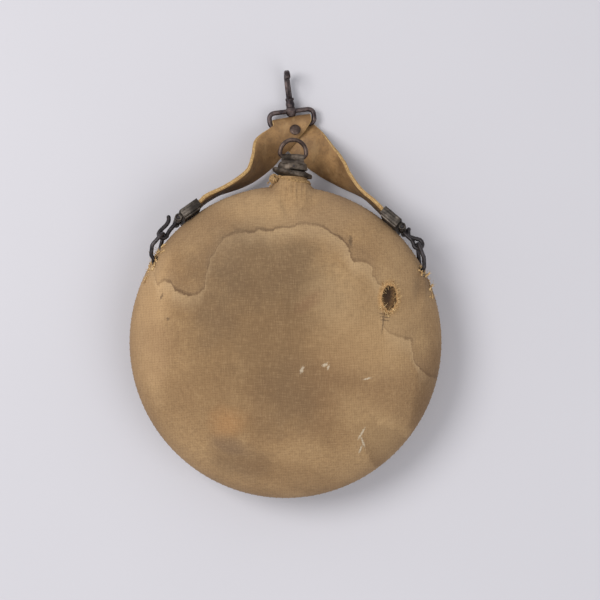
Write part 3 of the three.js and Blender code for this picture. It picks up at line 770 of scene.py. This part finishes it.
def fray(name, starts, rng, lengths, radius=0.16, up=0.6):
    """Loose threads that stand out from a ragged edge. Each start is (point, direction)."""
    parts = []
    for point, direction in starts:
        length = rng.uniform(*lengths)
        bend = Vector((rng.uniform(-1, 1), rng.uniform(-1, 1), rng.uniform(-0.2, up))) * 0.7
        path = []
        for k in range(5):
            t = k / 4
            path.append(point + direction * length * t + bend * length * t * t)
        parts.append(wire(path, radius, 4, taper=lambda v: 1 - 0.6 * v))
    piece(joined(*parts), name, "canteen", FRAY, smooth=80)


def hole_threads():
    rng = random.Random(4)
    starts = []
    for k in range(140):
        a = FULL_TURN * k / 140 + rng.uniform(-0.05, 0.05)
        out = heading(a)
        reach = 1.08 + rng.uniform(-0.06, 0.2)
        x, y = HOLE.x + out.x * HOLE_HALF[0] * reach, HOLE.y + out.y * HOLE_HALF[1] * reach
        point = Vector((x, y, MID + lens_height(math.hypot(x, y)) + 0.5))
        inward = rng.random() < 0.3
        direction = (-out if inward else out * 0.7) + Vector((0, 0, -0.15 if inward else 0.1))
        starts.append((point, direction.normalized()))
    fray("burnt_hole_threads", starts, rng, (0.9, 2.5), 0.2, 0.45)


def slit_threads():
    rng = random.Random(9)
    out = Vector((LOOP_HINGE.x, LOOP_HINGE.y, 0)).normalized()
    for label, sign in (("left", -1), ("right", 1)):
        starts = []
        for _ in range(46):
            h = rng.uniform(-6, 6)
            edge = rng.choice((-1, 1))
            along = Vector((-out.y, out.x, 0))
            r = 100 - 0.075 * h * h - rng.uniform(0, 1.4)
            p = out * r + along * edge * rng.uniform(2.9, 4.6)
            point = Vector((sign * p.x, p.y, MID + h))
            d = -along * edge * rng.uniform(0.2, 1) + out * rng.uniform(0.0, 0.9)
            starts.append((point, Vector((sign * d.x, d.y, rng.uniform(-0.5, 0.5))).normalized()))
        fray(f"{label}_slit_threads", starts, rng, (1.4, 3.6), 0.2, 0.5)


def torn_edges():
    """Crumpled strips of torn cloth that hang out by the slits, with threads in them."""
    rng = random.Random(21)
    for label, low, high, count in (("left", 143, 158, 16), ("right", 18, 31, 10)):
        strips, starts = [], []
        for k in range(count):
            a = math.radians(low + (high - low) * (k + rng.random()) / count)
            out = heading(a)
            along = Vector((-out.y, out.x, 0))
            r = rng.uniform(96.4, 99.6)
            at = out * r + Vector((0, 0, MID + lens_height(r) + 0.2))
            path = [at]
            way = along * rng.choice((-1, 1)) + out * rng.uniform(-0.1, 0.5)
            for _ in range(4):
                way = way + Vector((rng.uniform(-1, 1), rng.uniform(-1, 1), rng.uniform(-0.9, 0.5))) * 0.7
                path.append(path[-1] + way.normalized() * rng.uniform(0.7, 1.3))
            strip = wire(path, rng.uniform(0.6, 1.1), 12, flat=0.35, taper=lambda v: 1 - 0.5 * v * v)
            for vert in strip.verts:
                vert.co += 0.3 * noise.noise_vector(vert.co / 0.9)
            strips.append(strip)
            for _ in range(6):
                direction = out * rng.uniform(0, 1) + along * rng.uniform(-1, 1)
                direction.z += rng.uniform(-0.6, 0.8)
                starts.append((rng.choice(path), direction.normalized()))
        piece(joined(*strips), f"{label}_torn_cloth", "canteen", FRAY, smooth=60)
        fray(f"{label}_torn_threads", starts, rng, (0.9, 2.6), 0.17, 0.3)


# ---- neck and stopper ----

ON_NECK = Matrix.Translation((0, 0, MID))


def neck():
    profile = [
        (7.6, 88), (8.3, 88), (8.3, 106.2), (11.2, 106.5), (12.6, 107.1), (13.0, 108.2), (12.7, 109.3),
        (11.8, 109.9), (10.6, 109.7), (9.6, 109.5), (8.2, 110), (7.6, 109.4), (7.6, 88),
    ]
    bm = turned(profile, 0.5, 72, ON_NECK)
    for v in bm.verts:
        out = math.hypot(v.co.x, v.co.z - MID)
        if v.co.y > 106:
            v.co += Vector((v.co.x, 0, v.co.z - MID)) / out * 0.3 * noise.noise(v.co / 6)
            v.co.y -= 0.16 * v.co.x * max(0, min(1, (out - 8.5) / 3))
    piece(bm, "spout_lip", "canteen", LIP_METAL, ["neck_tube"])


def twine_lashing():
    """Turns of twine round the sleeve with a knot and two short ends."""
    parts = []
    turns, steps = 3, 150
    for strand in (0, 1):
        path = []
        for k in range(steps + 1):
            t = k / steps
            a = FULL_TURN * turns * t + 2.6
            y = 102.8 + 2.0 * t + 0.2 * math.sin(a * 3) - 0.12 * 11 * math.cos(a)
            ply = FULL_TURN * 26 * t + math.pi * strand
            r = sleeve_radius(y) + 0.4 + 0.2 * math.cos(ply) + 0.25 * noise.noise(Vector((a, t * 9, 2)))
            path.append(Vector((r * math.cos(a), y + 0.28 * math.sin(ply), MID + r * math.sin(a))))
        parts.append(wire(path, 0.34, 6))
    rng = random.Random(2)
    centre = Vector((-11.6, 103.9, MID + 5.0))
    for k in range(6):
        start = k * 1.05
        path = []
        for j in range(15):
            a = start + FULL_TURN * j / 14
            loop = Vector((math.cos(a) * 2.2, math.sin(a) * 2.7, 0.6 * math.sin(2 * a)))
            loop.rotate(Matrix.Rotation(k * 0.8, 3, Vector((0.4, 0.6, 0.7)).normalized()))
            path.append(centre + loop)
        parts.append(wire(path, 0.75, 6))
    for way in (Vector((-2.2, -5.2, -1.5)), Vector((-3.6, -2.6, -2.5))):
        path = [centre + way * t + Vector((0.5 * math.sin(5 * t), 0, 0.4 * math.sin(4 * t))) for t in
                (0, 0.2, 0.4, 0.6, 0.8, 1.0)]
        parts.append(wire(path, 0.5, 6, taper=lambda v: 1 - 0.3 * v))
        for _ in range(5):
            tip = way + Vector((rng.uniform(-1, 1), rng.uniform(-1.5, 0), rng.uniform(-1, 1)))
            parts.append(wire([centre + way * 0.85, centre + (way + tip) / 2, centre + tip], 0.14, 4))
    piece(joined(*parts), "neck_lashing", "canteen", TWINE, ["neck_twine"], smooth=80)


def stopper():
    plug = [(1.6, 93), (6.5, 93), (7.2, 95), (7.3, 109.4), (1.6, 109.4), (1.6, 93)]
    cork = turned(plug, 0.3, 48, ON_NECK)
    piece(cork, "cork_plug", "stopper", CORK, ["stopper_cork"])
    cap = turned([
        (0, 110.3), (9.5, 110.3), (9.8, 110.7), (9.5, 111.2), (9.35, 112.6), (9.0, 114.0), (7.6, 115.3),
        (4.2, 116.1), (0, 116.4),
    ], 0.5, 64, ON_NECK)
    for v in cap.verts:
        v.co.y += 0.25 * noise.noise(v.co / 4)
    piece(cap, "stopper_cap_shell", "stopper", LIP_METAL, ["stopper_cap"])
    pin = rod((0.8, 112.6, MID + 7), (0.8, 112.6, MID + 9.6), 0.75, 14, 0.2)
    piece(pin, "cap_pin_end", "stopper", BLACK_IRON, ["cap_pin"])
    shank = [(0, 89.4), (2.6, 89.4), (2.6, 90.9), (1.2, 91), (1.2, 115.2), (0, 115.2)]
    shaft = turned(shank, 0.3, 24, ON_NECK)
    piece(shaft, "stopper_shaft", "stopper", BLACK_IRON, ["stopper_rod"])
    washer = turned(pipe(1.6, 6.2, 91.4, 92.6), 0.3, 40, ON_NECK)
    piece(washer, "cork_washer", "stopper", TIN, ["stopper_washer"])
    band()
    ring()


def band():
    """The sheet band over the ring's straight side, with its feet spread on the cap."""
    def arc(radius, degrees):
        turns = [math.radians(a) for a in degrees]
        return [(radius * math.sin(a), RING_HINGE.y + radius * math.cos(a)) for a in turns]

    over, under = arc(2.1, range(-100, 101, 20)), arc(1.5, range(110, -111, -20))
    loop = [(-8.2, 114.3), (-6.0, 115.8), (-3.4, 116.6), *over, (3.4, 116.6), (6.0, 115.8), (8.2, 114.3),
            (5.6, 115.2), (2.2, 116.3), *under, (-2.2, 116.3), (-5.6, 115.2)]

    def place(u, v):
        z, height = loop[round(u * len(loop)) % len(loop)]
        sag = (2 * v - 1) ** 4 * 0.5
        return Vector((-7.2 + 14.4 * v, height - sag, MID + z))

    bm = skin(len(loop), 12, place)
    piece(bm, "ring_band", "stopper", LIP_METAL, ["ring_staple"], smooth=60)


def ring():
    low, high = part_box("stopper_ring")
    bend = (high[0] - low[0]) / MM / 2 - RING_WIRE
    centre = high[1] / MM - RING_WIRE - bend
    points = [Vector((0, RING_HINGE.y, MID)), Vector((bend - 1.6, RING_HINGE.y, MID))]
    for k in range(37):
        a = math.radians(-8 + 196 * k / 36)
        points.append(Vector((bend * math.cos(a), centre + bend * math.sin(a), MID)))
    points += [Vector((1.6 - bend, RING_HINGE.y, MID)), Vector((-0.5, RING_HINGE.y, MID))]
    course = eased(points[:4], 1.2, 3)[:-1] + points[3:-4] + eased(points[-4:], 1.2, 3)
    bm = wire(course, RING_WIRE, 20, closed=True, taper=lambda v: 1 + 0.04 * math.sin(v * 40))
    piece(bm, "pull_ring", "stopper_ring", RING_IRON, ["stopper_ring"])


# ---- brackets, loops and hooks ----


def bracket_and_loop(label, sign):
    hinge = Vector((sign * LOOP_HINGE.x, LOOP_HINGE.y, MID))
    out = Vector((sign * LOOP_HINGE.x, LOOP_HINGE.y, 0)).normalized()
    around = axes_at(hinge, out, Vector((-out.y, out.x, 0)))
    knuckle = turned(pipe(1.5, 2.4, -4, 4), 0.2, 28, QUARTER)
    plate = block((0.9, 9, 7.4), (-1.85, 0, 0), 0.3)
    bracket = moved(joined(knuckle, plate), around)
    piece(bracket, f"{label}_bracket_plate", "canteen", BLACK_IRON, [f"{label}_bracket"])

    bow = LOOP_BOWS[sign]
    bar = Vector((sign * LOOP_BARS[sign], SLING_HINGE.y, MID))
    along = Vector((bar.x - hinge.x, bar.y - hinge.y, 0))
    up = Vector((0, 0, 1))
    corners = [
        hinge, hinge - up * 5.4, hinge + along * 0.3 - up * 6.6 - out * 0.4, bar - up * 8.4, bar + up * 8.4,
        hinge + along * 0.45 + up * 7.6 + out * bow, hinge + along * 0.12 + up * 6 + out * bow * 0.8,
        hinge + up * 4.6, hinge + up * 0.2,
    ]
    loop = wire(eased(corners, 3.2, 5), LOOP_WIRE, 18, closed=True)
    piece(loop, f"{label}_sling_loop", f"{label}_loop", BLACK_IRON, [f"{label}_loop"])


def clasp_frame(sign):
    """Axes at a clasp: X along the strap's end towards the hook, and Z up its width.

    Y points outwards on the right and inwards on the left.
    """
    turn = Matrix.Rotation(math.atan2(CLASP_RUN[1], sign * CLASP_RUN[0]), 4, "Z")
    lean = Matrix.Rotation(math.radians(sign * CLASP_LEAN), 4, "X")
    return Matrix.Translation((sign * CLASP_AT[0], CLASP_AT[1], 0)) @ turn @ lean


def clasp_up(sign):
    """The direction up a clasp's width."""
    return clasp_frame(sign).to_3x3() @ Vector((0, 0, 1))


def clasp(label, sign):
    """A folded sheet sleeve on the strap's end, ribbed outside, with two knuckles for the hook."""
    bm = bmesh.new()
    bmesh.ops.create_cube(bm, size=1, matrix=Matrix.Diagonal((*CLASP_SIZE, 1)))
    mouth = [f for f in bm.faces if f.normal.x < -0.9]
    bmesh.ops.inset_region(bm, faces=mouth, thickness=1.2)
    bmesh.ops.translate(bm, vec=(12.8, 0, 0), verts=[v for f in mouth for v in f.verts])
    sharp = [e for e in bm.edges if e.calc_face_angle(0) > 1]
    rounded(bm, sharp, 0.5, 3)
    parts = [bm]
    for end in (-1, 1):
        for k in range(3):
            parts.append(block((12.6, 1.2, 0.5), (0, -1.7 + 1.7 * k, 13.75 * end), 0.2))
    for k in range(6):
        parts.append(block((0.8, 0.5, 23), (-5 + 2 * k, sign * 2.8, 0), 0.2))
    parts.append(block((12.5, 1.3, 25), (0.6, sign * -3.3, 0), 0.4))
    for k in (-1, 1):
        at_knuckle = Matrix.Translation((HOOK_BAR, 0, KNUCKLE_OUT * k)) @ QUARTER
        parts.append(turned(pipe(1.5, 2.3, -4, 4), 0.3, 28, at_knuckle))
        parts.append(block((3.2, 3.0, 7.8), (7.2, 0, KNUCKLE_OUT * k), 0.4))
    bm = moved(moved(joined(*parts), clasp_frame(sign)), IN_SLING)
    bmesh.ops.recalc_face_normals(bm, faces=bm.faces)
    piece(bm, f"{label}_clasp_sleeve", "sling", CLASP_PLATE, [f"{label}_clasp"])
    bar = moved(rod((4.6, 0, -11.6), (4.6, 0, 11.6), 0.95, 14), IN_SLING @ clasp_frame(sign))
    piece(bar, f"{label}_clamp_bar", "sling", BLACK_IRON, [f"{label}_clasp_bar"])


def hook(label, sign):
    """A wire hook: a cross bar in the clasp, a bent shank, a bend round the loop's bar and a free leg."""
    cross = Vector((CLASP_AT[0] + HOOK_BAR * CLASP_RUN[0], CLASP_AT[1] + HOOK_BAR * CLASP_RUN[1], 0))
    bar, tip = LOOP_BARS[sign], HOOK_TIPS[sign]
    centre = Vector((bar, -0.2, 0))
    bend = 2.8
    points = [cross, cross + Vector((1.9, -3.3, 0)), centre + Vector((-4.2, 2.8, 0))]
    points += [centre + heading(a) * bend
               for a in [math.radians(-178 + 186 * k / 12) for k in range(13)]]
    points += [Vector((bar + 1.2, 2.8, 0)), Vector((tip[0] + 1.0, tip[1] - 5.2, 0)),
               Vector((tip[0] - 0.2, tip[1] - 2.2, 0)), Vector((*tip, 0))]
    points = [Vector((sign * p.x, p.y, p.z)) for p in points]
    course = smooth_through(points, 3)
    parts = [wire(course, HOOK_WIRE, 18), moved(ball(HOOK_WIRE), Matrix.Translation(points[-1]))]
    across = clasp_up(sign) * 10.6
    cross = points[0]
    parts.append(rod(cross - across, cross + across, 1.3))
    piece(moved(joined(*parts), IN_SLING), f"{label}_wire_hook", "sling", BLACK_IRON,
          [f"{label}_hook"])


def ball(radius):
    bm = bmesh.new()
    bmesh.ops.create_uvsphere(bm, u_segments=16, v_segments=10, radius=radius)
    return bm


# ---- the strap ----

# (x, y, z, angle of the width in the sling's plane, twist of the edge next to the neck towards the back)
LEFT_LEG = [
    (-1.4, 79.1, 3.3, 12, 0), (-5.0, 74.6, 2.9, 6, 7), (-9.8, 69.6, 2.2, 2, 18),
    (-16.2, 61.0, 1.4, -4, 44), (-19.6, 53.6, 0.8, 2, 60), (-24.6, 46.1, 0.4, 6, 78),
    (-31.0, 39.8, 0, -42, 94), (-45.6, 31.2, 0, -50, 104), (-55.3, 25, 0, -50, 101),
]
RIGHT_LEG = [
    (-0.6, 79.1, -3.3, 16, 0), (3.2, 74.2, -3.6, 26, 6), (9.2, 67.6, -3.0, 30, 24),
    (15.6, 60.8, -2.2, 30, 42), (22.2, 54.2, -1.2, 28, 54), (29.4, 47.8, -0.4, 34, 70),
    (36.8, 41.0, 0, 45, 88), (46.0, 33.4, 0, 50, 102), (55.3, 25, 0, 50, 101),
]
STRAP_HALF = 12.7
STRAP_THICK = 2.4


def smooth_through(points, steps):
    """Points on a smooth curve through the given ones."""
    out = []
    for i in range(len(points) - 1):
        p0 = points[max(i - 1, 0)]
        p1, p2 = points[i], points[i + 1]
        p3 = points[min(i + 2, len(points) - 1)]
        for k in range(steps):
            t = k / steps
            out.append(0.5 * ((2 * p1) + (p2 - p0) * t + (2 * p0 - 5 * p1 + 4 * p2 - p3) * t * t
                              + (3 * p1 - p0 - 3 * p2 + p3) * t**3))
    out.append(points[-1])
    return out


def leg_stations(leg, sign, steps=8):
    """Places along one leg of the strap, into its clasp, and the direction of its width at each."""
    places, widths = [], []
    for x, y, z, turn, twist in leg:
        turn, twist = math.radians(turn), math.radians(twist)
        places.append(Vector((x, y, z)))
        widths.append(Vector((math.cos(twist) * math.cos(turn), math.cos(twist) * math.sin(turn),
                              sign * math.sin(twist))))
    for along in (-7, 3.5):
        at = Vector((*CLASP_AT, 0)) + along * Vector((*CLASP_RUN, 0))
        places.append(Vector((sign * at.x, at.y, 0)))
        widths.append(clasp_up(sign) * sign)
    return list(zip(smooth_through(places, steps), smooth_through(widths, steps)))


def strap_stations():
    """The whole strap: up the left leg, over the bail and down the right leg."""
    left = leg_stations(LEFT_LEG, -1)[::-1]
    right = leg_stations(RIGHT_LEG, 1)
    fold = []
    for k in range(1, 12):
        t = k / 12
        turn = math.radians(12 + 2 * t)
        over = Vector((-math.sin(turn), math.cos(turn), 0))
        width = heading(turn)
        start = left[-1][0].lerp(right[0][0], t)
        round_bail = over * 4.8 * math.sin(math.pi * t) + Vector((0, 0, 3.3 * math.cos(math.pi * t)))
        fold.append((Vector((start.x, start.y, 0)) + round_bail, width))
    return left + fold + right


def strap():
    stations = strap_stations()
    last = len(stations) - 1
    normals = []
    for i, (at, width) in enumerate(stations):
        run = stations[min(i + 1, last)][0] - stations[max(i - 1, 0)][0]
        normals.append(run.cross(width).normalized())
    half, thick = STRAP_HALF, STRAP_THICK / 2
    face = [(-half + 0.5 + (2 * half - 1) * k / 10, thick) for k in range(11)]
    edge_in = [(half - 0.1, thick - 0.25), (half, thick * 0.4)]
    side = edge_in + [(x, -y) for x, y in edge_in[::-1]]
    section = face + side + [(x, -y) for x, y in face[::-1]] + [(-x, -y) for x, y in side]
    count = len(section)

    def place(u, v):
        i = round(v * last)
        at, width = stations[i]
        across, out = section[round(u * count) % count]
        ripple = 0.25 * noise.noise(Vector((i / 5, across / 8, 1)))
        edge = 0.25 * noise.noise(Vector((i / 3, 7, 2 if across > 0 else 5))) if abs(across) > half - 1 else 0
        return at + width.normalized() * (across + edge) + normals[i] * (out + ripple)

    bm = skin(count, last, place)
    uv = bm.loops.layers.uv.active
    for face in bm.faces:
        mid = sum(loop[uv].uv.x for loop in face.loops) / len(face.loops) * count
        if 10 < mid < 15 or mid > 25:
            face.material_index = 1
            start = 10 if mid < 20 else count - 5
            for loop in face.loops:
                loop[uv].uv.x = (loop[uv].uv.x * count - start) / 5
    moved(bm, IN_SLING)
    piece(bm, "sling_strap", "sling", [LEATHER, LEATHER_EDGE], ["strap"], smooth=50)


def rivet():
    spot = IN_SLING @ Matrix.Translation((0.6, 74.4, 0)) @ QUARTER
    outline = [(0, -5.6), (1.5, -5.5), (1.5, 3.9), (3.6, 3.9), (3.5, 4.5), (2.4, 5.2), (0, 5.5)]
    head = turned(outline, 0.35, 40, spot)
    piece(head, "fold_rivet", "sling", RING_IRON, ["strap_rivet"])
    burr = turned(pipe(1.55, 3.1, -5.3, -4.5), 0.2, 32, spot)
    piece(burr, "fold_rivet_burr", "sling", RING_IRON, ["strap_rivet_burr"])


# ---- bail and snap hook ----

BOSS = 9.5  # from the bail's bar to its swivel boss
BARREL = BOSS + 5.4  # and to the shoulder of the snap hook
HOOK_HALF = 1.8  # half the thickness of the snap hook's plate


def bail():
    half = 14.6
    corners = [(0, 0, 0), (half, 0, 0), (half, BOSS, 0), (-half, BOSS, 0), (-half, 0, 0), (-0.01, 0, 0)]
    course = eased(corners, 4.2, 6)[:-1]
    bow = wire(course, 1.55, 18, closed=True)
    boss = turned([(1.7, -2.5), (2.9, -2.4), (3.9, 0), (2.9, 2.2), (1.7, 2.3), (1.7, -2.5)], 0.5, 32,
                  Matrix.Translation((0, BOSS, 0)))
    piece(moved(joined(bow, boss), IN_BAIL), "strap_bail", "bail", SNAP_IRON, ["swivel_bail"])


def snap_hook():
    head = turned([
        (0, BOSS - 3.9), (1.6, BOSS - 3.7), (2.6, BOSS - 2.9), (2.6, BOSS - 2.2), (1.4, BOSS - 2.1),
        (1.4, BOSS + 2.2), (2.6, BOSS + 2.3), (2.9, BARREL - 1), (2.4, BARREL + 1.4), (0, BARREL + 1.6),
    ], 0.4, 32)
    outer = [(BARREL - 1, -2.4), (BARREL + 13, -2.4)]
    outer += bezier(
        (BARREL + 14, -2.4), (BARREL + 22.5, -2.4), (BARREL + 23, 13.4), (BARREL + 15.6, 13.4), 14)
    inner = bezier((BARREL + 14.8, 10.2), (BARREL + 19, 9.8), (BARREL + 18.6, 0.9), (BARREL + 13.6, 0.9), 14)
    inner += [(BARREL + 5.2, 0.9), (BARREL + 3.4, 2.4), (BARREL - 1, 2.4)]
    bm = bmesh.new()
    face = bm.faces.new([bm.verts.new((-HOOK_HALF, y, z)) for y, z in outer + inner])
    wall = bmesh.ops.extrude_face_region(bm, geom=[face])["geom"]
    far_side = [g for g in wall if isinstance(g, bmesh.types.BMVert)]
    bmesh.ops.translate(bm, vec=(2 * HOOK_HALF, 0, 0), verts=far_side)
    bmesh.ops.recalc_face_normals(bm, faces=bm.faces)
    sharp = [e for e in bm.edges if e.calc_face_angle(0) > 1.2]
    rim = [e for e in sharp if abs(e.verts[0].co.x - e.verts[1].co.x) < 0.01]
    rounded(bm, rim, 0.95, 5)
    for v in bm.verts:
        v.co.x *= 1.08 - 0.16 * max(0, min(1, (v.co.y - BARREL - 8) / 14))
    hook_body = moved(joined(head, bm), IN_BAIL)
    piece(hook_body, "swivel_snap_hook", "snap_hook", SNAP_IRON, ["snap_hook"], smooth=50)
    across = IN_BAIL.to_3x3() @ Vector((2.7, 0, 0))
    pin = rod(GATE_HINGE - across, GATE_HINGE + across, 0.9, 16)
    piece(pin, "tongue_rivet", "snap_hook", SNAP_IRON, ["gate_rivet"])


def bezier(a, b, c, d, steps):
    """Points on the curve from a to d that b and c pull."""
    out = []
    for k in range(steps + 1):
        t = k / steps
        out.append(tuple((1 - t) ** 3 * p + 3 * t * (1 - t) ** 2 * q + 3 * t * t * (1 - t) * r + t**3 * s
                         for p, q, r, s in zip(a, b, c, d)))
    return out


def tongue():
    """The spring tongue, a little bowed, from its rivet to the inside of the nose."""
    start = Vector((0, BARREL + 2.2, 1.2))
    end = Vector((0, BARREL + 14, 10.6))
    span = end - start
    rise = Vector((0, -span.z, span.y)).normalized()
    path = [start + span * t + rise * 0.9 * math.sin(math.pi * t) for t in [k / 12 for k in range(13)]]
    blade = wire(path, 1.1, 12, flat=0.55, taper=lambda v: 1.0 if v < 0.9 else 1 - (v - 0.9) * 3)
    eye = rod(start - Vector((0.75, 0, 0)), start + Vector((0.75, 0, 0)), 1.7, 24, 0.2)
    blade = moved(joined(blade, eye), IN_BAIL)
    piece(blade, "snap_tongue", "snap_gate", SNAP_IRON, ["snap_gate"])


# ---- stage, lights and camera, in metres ----

FLOOR_SIZE = 3
FLOOR_GAP = 0.0002
LOOK_AT = Vector((0, 0.03, 0))
VIEW_CENTRE = (0.0082, 0.0273)
VIEW_WIDTH = 0.3846  # at the flask's middle plane
VIEW_TURN = math.radians(2.3)
CAMERA_DISTANCE = 1.6


def stage():
    bm = bmesh.new()
    bmesh.ops.create_grid(bm, x_segments=1, y_segments=1, size=FLOOR_SIZE)
    bmesh.ops.translate(bm, vec=(0, 0, CAD_BOX[0][2] - FLOOR_GAP), verts=bm.verts)
    mesh = bpy.data.meshes.new("floor")
    bm.to_mesh(mesh)
    bm.free()
    floor = bpy.data.objects.new("floor", mesh)
    bpy.context.collection.objects.link(floor)
    n = Nodes("pale_floor", 0.7)
    color = n.mix(n.noise(3, 3), shade(192, 191, 197), shade(199, 198, 204))
    mesh.materials.append(n.finish(color))


def light(name, size, power, place, color=(1, 1, 1)):
    data = bpy.data.lights.new(name, "AREA")
    data.shape = "DISK"
    data.size = size
    data.energy = power
    data.color = color
    obj = bpy.data.objects.new(name, data)
    obj.location = place
    obj.rotation_euler = (LOOK_AT - Vector(place)).to_track_quat("-Z", "Y").to_euler()
    bpy.context.collection.objects.link(obj)


def lights():
    world = bpy.data.worlds.new("studio")
    world.use_nodes = True
    background = world.node_tree.nodes["Background"]
    background.inputs["Color"].default_value = (1.0, 1.0, 1.02, 1)
    background.inputs["Strength"].default_value = 0.58
    bpy.context.scene.world = world
    light("key", 0.9, 19.5, (-0.9, 0.35, 1.5), color=(1.0, 0.98, 0.96))
    light("fill", 1.4, 9, (0.9, -0.6, 1.6))


def camera():
    data = bpy.data.cameras.new("camera")
    data.lens = data.sensor_width * CAMERA_DISTANCE / VIEW_WIDTH
    obj = bpy.data.objects.new("camera", data)
    obj.location = (*VIEW_CENTRE, MID * MM + CAMERA_DISTANCE)
    obj.rotation_euler = (0, 0, VIEW_TURN)
    data.clip_end = 20
    bpy.context.collection.objects.link(obj)
    bpy.context.scene.camera = obj
    bpy.context.scene.view_settings.view_transform = "Standard"


def carried_nodes():
    """Finishes for the CAD nodes that stay: the flask and its lining."""
    for name, node in frame["nodes"].items():
        if name.startswith("tin_"):
            dress(node, TIN)
        elif name.startswith("felt_"):
            dress(node, FELT)


def dress(node, material):
    if not node.material_slots:
        node.data.materials.append(material)
    for slot in node.material_slots:
        slot.material = material


carried_nodes()
canvas_covers()
rim_stitches()
hole_threads()
slit_threads()
torn_edges()
neck()
twine_lashing()
stopper()
for label, sign in (("left", -1), ("right", 1)):
    bracket_and_loop(label, sign)
    clasp(label, sign)
    hook(label, sign)
strap()
rivet()
bail()
snap_hook()
tongue()
stage()
lights()
camera()
